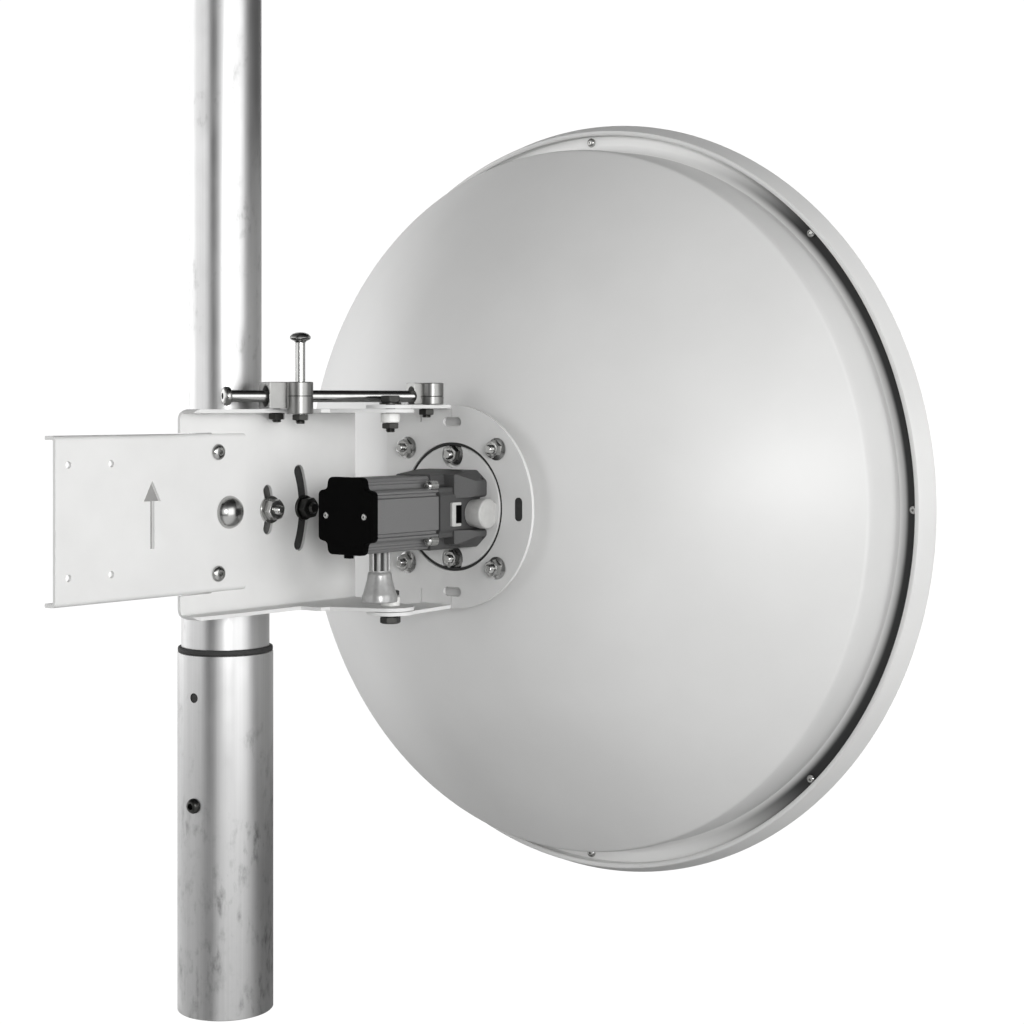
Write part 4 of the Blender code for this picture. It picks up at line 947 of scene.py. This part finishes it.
# The radio's end cap is moulded black plastic with a fine grain, stepped and rounded corners and
# two screws. It is otherwise bare.
RADIO_Z = AXIS_Z - 2.3


def four_way(quarter):
    """Mirror one corner's (x, z, radius) points, given upward from the side, to all four."""
    outline = list(quarter)
    outline += [(-x, z, r) for x, z, r in reversed(quarter)]
    outline += [(-x, -z, r) for x, z, r in quarter]
    outline += [(x, -z, r) for x, z, r in reversed(quarter)]
    return [(z, x) for x, z in rounded(outline)]


black_plastic = varied("moulded_black_plastic", 0.0008, 3, "#020202", "#020202", 0.7,
                       (0.0008, 3, 0.3, 0.00005), **{"Specular IOR Level": 0.05})
radio_place = (BORE_X, 0, RADIO_Z)
quarter = [(30, 19.8, 4), (20.6, 21.6, 3.5), (18.9, 31.2, 4.5)]
cap = eased(prism(four_way(quarter), 5, 12, ALONG_Y, radio_place), 1.0, 60)
screws_x = [BORE_X + x for x in (-22, 20)]
sockets = [bore(3.4, 4, 6.2, ALONG_Y, (x, 0, RADIO_Z)) for x in screws_x]
tab = prism([(-34, 4), (-34, -3), (-30, -3), (-30, 4)], 7, 11, ALONG_Y, radio_place)
cap = joined(carved(cap, joined(*sockets)), tab)
put(cap, "end_cap_moulding", black_plastic, "dish_head", "black_plastic", "radio_end_cap")
for number, x in enumerate(screws_x):
    put(button_screw(3.0, 1.2, 1.8, 1.5, 3, ALONG_Y, (x, 6.3, RADIO_Z)),
        f"end_cap_screw_{number + 1}", stainless, "dish_head", "steel_fasteners")


# The radio's body is a grey coated aluminium extrusion with flat sides and grooves along its
# corners. The cast adapter behind it is painted darker and widens to two lobes that reach the
# hub, and two stainless screws join it to the body.
coat_grain = (0.0009, 3, 0.25, 0.00004)
extrusion_coat = varied("grey_coated_aluminium", 0.0009, 3, "#606060", "#6f6f6f", 0.48,
                        coat_grain)
casting_coat = varied("dark_grey_painted_casting", 0.0009, 3, "#3c3c3c", "#4a4a4a", 0.48,
                      coat_grain)
joint = 86.5
side = [(29, 13.8, 0.6), (26.2, 14.4, 0.4), (26.2, 16.8, 0.4), (28.6, 17.4, 0.4),
        (28.6, 19.0, 0.6), (26.2, 20.7, 0.6), (18.5, 20.7, 1.5)]
quarter = side + [(18.5, 24.6, 0.5), (17.2, 25.4, 0.4), (17.2, 27.0, 0.4), (18.2, 27.8, 0.5),
                  (16.5, 30.2, 1.5)]
body = prism(four_way(quarter), 12.3, joint, ALONG_Y, radio_place)
put(eased(body, 0.3, 60, 1), "radio_extrusion", extrusion_coat, "dish_head", "radio_metal",
    "radio_body")

quarter = [(30.5, 14.2, 1.5), (28.8, 17.0, 0.8), (28.8, 20.9, 1.5), (19.6, 21.8, 2),
           (19.6, 31.6, 2.5)]
core = eased(prism(four_way(quarter), joint + 0.3, 141.7, ALONG_Y, radio_place), 0.6, 60)
lobes = []
for side, shelf in ((1, 9.5), (-1, 17.5)):
    top = 32 if side > 0 else 33
    lobe = rounded([(side * shelf, 38, 3), (side * 23, 38, 4), (side * top, 27, 4),
                    (side * top, -27, 4), (side * 23, -38, 4), (side * shelf, -38, 3)])
    lobe = prism(lobe, 104, 140.7, ALONG_Y, boresight)
    taper = [(30.4, 100), (45, 100), (45, 131), (38.2, 125), (30.4, 106)]
    ramps = [prism([(BORE_X + flank * x, y) for x, y in taper], 380, 460) for flank in (1, -1)]
    ramps.append(prism([(100, side * 29), (106, side * 29), (126, side * (top + 0.1)),
                        (126, side * 45), (100, side * 45)], 80, 190, ALONG_X, axis_place))
    for ramp in ramps:
        lobe = carved(lobe, ramp)
    lobes.append(eased(lobe, 0.8, 60))
notch = [prism([(side * 40, 34), (side * 24, 34), (side * 24, 40), (side * 40, 40)], 132, 136,
               ALONG_Y, boresight) for side in (1, -1)]
adapter = joined(core, carved(joined(*lobes), joined(*notch)))
put(adapter, "cast_adapter", casting_coat, "dish_head", "radio_metal", "radio_adapter")
for side, end in ((1, "upper"), (-1, "lower")):
    centre = (BORE_X + 25.0, 82, RADIO_Z + side * 22.5)
    screw = joined(bore(4.4, -4, 4.2, ALONG_Y, centre),
                   button_screw(4.2, 3.0, 2.5, 2, 4, ALONG_Y, Vector(centre) - Vector((0, 4, 0))))
    put(screw, f"adapter_screw_{end}", stainless, "dish_head", "steel_fasteners")


# A plug of undyed nylon closes the adapter's round port, beside a small latch on the adapter's
# flank. Both are moulded and pushed in, and the latch frames a black socket.
PORT_Z = AXIS_Z - 4
milky_nylon = varied("undyed_nylon", 0.005, 3, "#b2b2b0", "#c8c8c6", 0.4, subsurface=0.2)
section = [(0, 16.4), (10.2, 16.6), (11.2, 17.0), (12.2, 16.5), (12.8, 15.4), (12.6, 9.0),
           (11.6, 3.6), (11.4, 0.2), (0, 0.2)]
put(spun(section, 64, ALONG_X, (BORE_X + 30.8, 128.5, PORT_Z)), "nylon_port_plug", milky_nylon,
    "dish_head", "white_plastic", "radio_plug")
latch = [(99.0, -10, 1), (110.5, -10, 1), (110.5, -7.5, 0.5), (103.8, -7.5, 0.5),
         (103.8, 7.5, 0.5), (110.5, 7.5, 0.5), (110.5, 10, 1), (99.0, 10, 1)]
latch = eased(prism(rounded(latch), 30.4, 32.9, ALONG_X, (BORE_X, 0, PORT_Z)), 0.4)
put(latch, "adapter_latch", milky_nylon, "dish_head", "white_plastic")
socket = prism([(103.8, -7.5), (113, -7.5), (113, 7.5), (103.8, 7.5)], 30.4, 31.0, ALONG_X,
               (BORE_X, 0, PORT_Z))
put(socket, "latch_socket", black_plastic, "dish_head", "black_plastic")


# The cable gland under the radio is grey glass-filled nylon: a smooth neck, a clamping nut with
# flutes and a skirt that widens downward. A black core inside it is painted shade at the bottom
# of the flutes.
polyamide = varied("grey_polyamide", 0.004, 4, "#8e8e8e", "#b0b0af", 0.28, Metallic=0.35)
gland_place = (BORE_X, 46, 0)
section = [(0, 387.2), (8.0, 387.2), (8.6, 386.6), (8.6, 370.6), (9.6, 369.6), (10.0, 367.6),
           (10.4, 364), (13.6, 353.0), (14.6, 351.0), (14.6, 346.8), (14.0, 346), (9, 346),
           (9, 352), (0, 352)]
gland = spun(section, 72, None, gland_place)
flutes = []
for k in range(8):
    angle = math.tau * (k + 0.3) / 8
    where = Vector(gland_place) + Matrix.Rotation(angle, 3, "Z") @ Vector((9.4, 0, 0))
    flutes.append(bore(2.3, 371.5, 389, None, where, 16))
gland = carved(gland, joined(*flutes))
put(gland, "fluted_gland", polyamide, "dish_head", "grey_plastic", "radio_gland")
# A black core that shows at the flutes' bottoms is painted shade in the flutes.
flute_shade_core = bore(7.6, 371.6, 386.9, None, gland_place)
put(flute_shade_core, "gland_flute_painted_shade", rubber, "dish_head", "rubber")
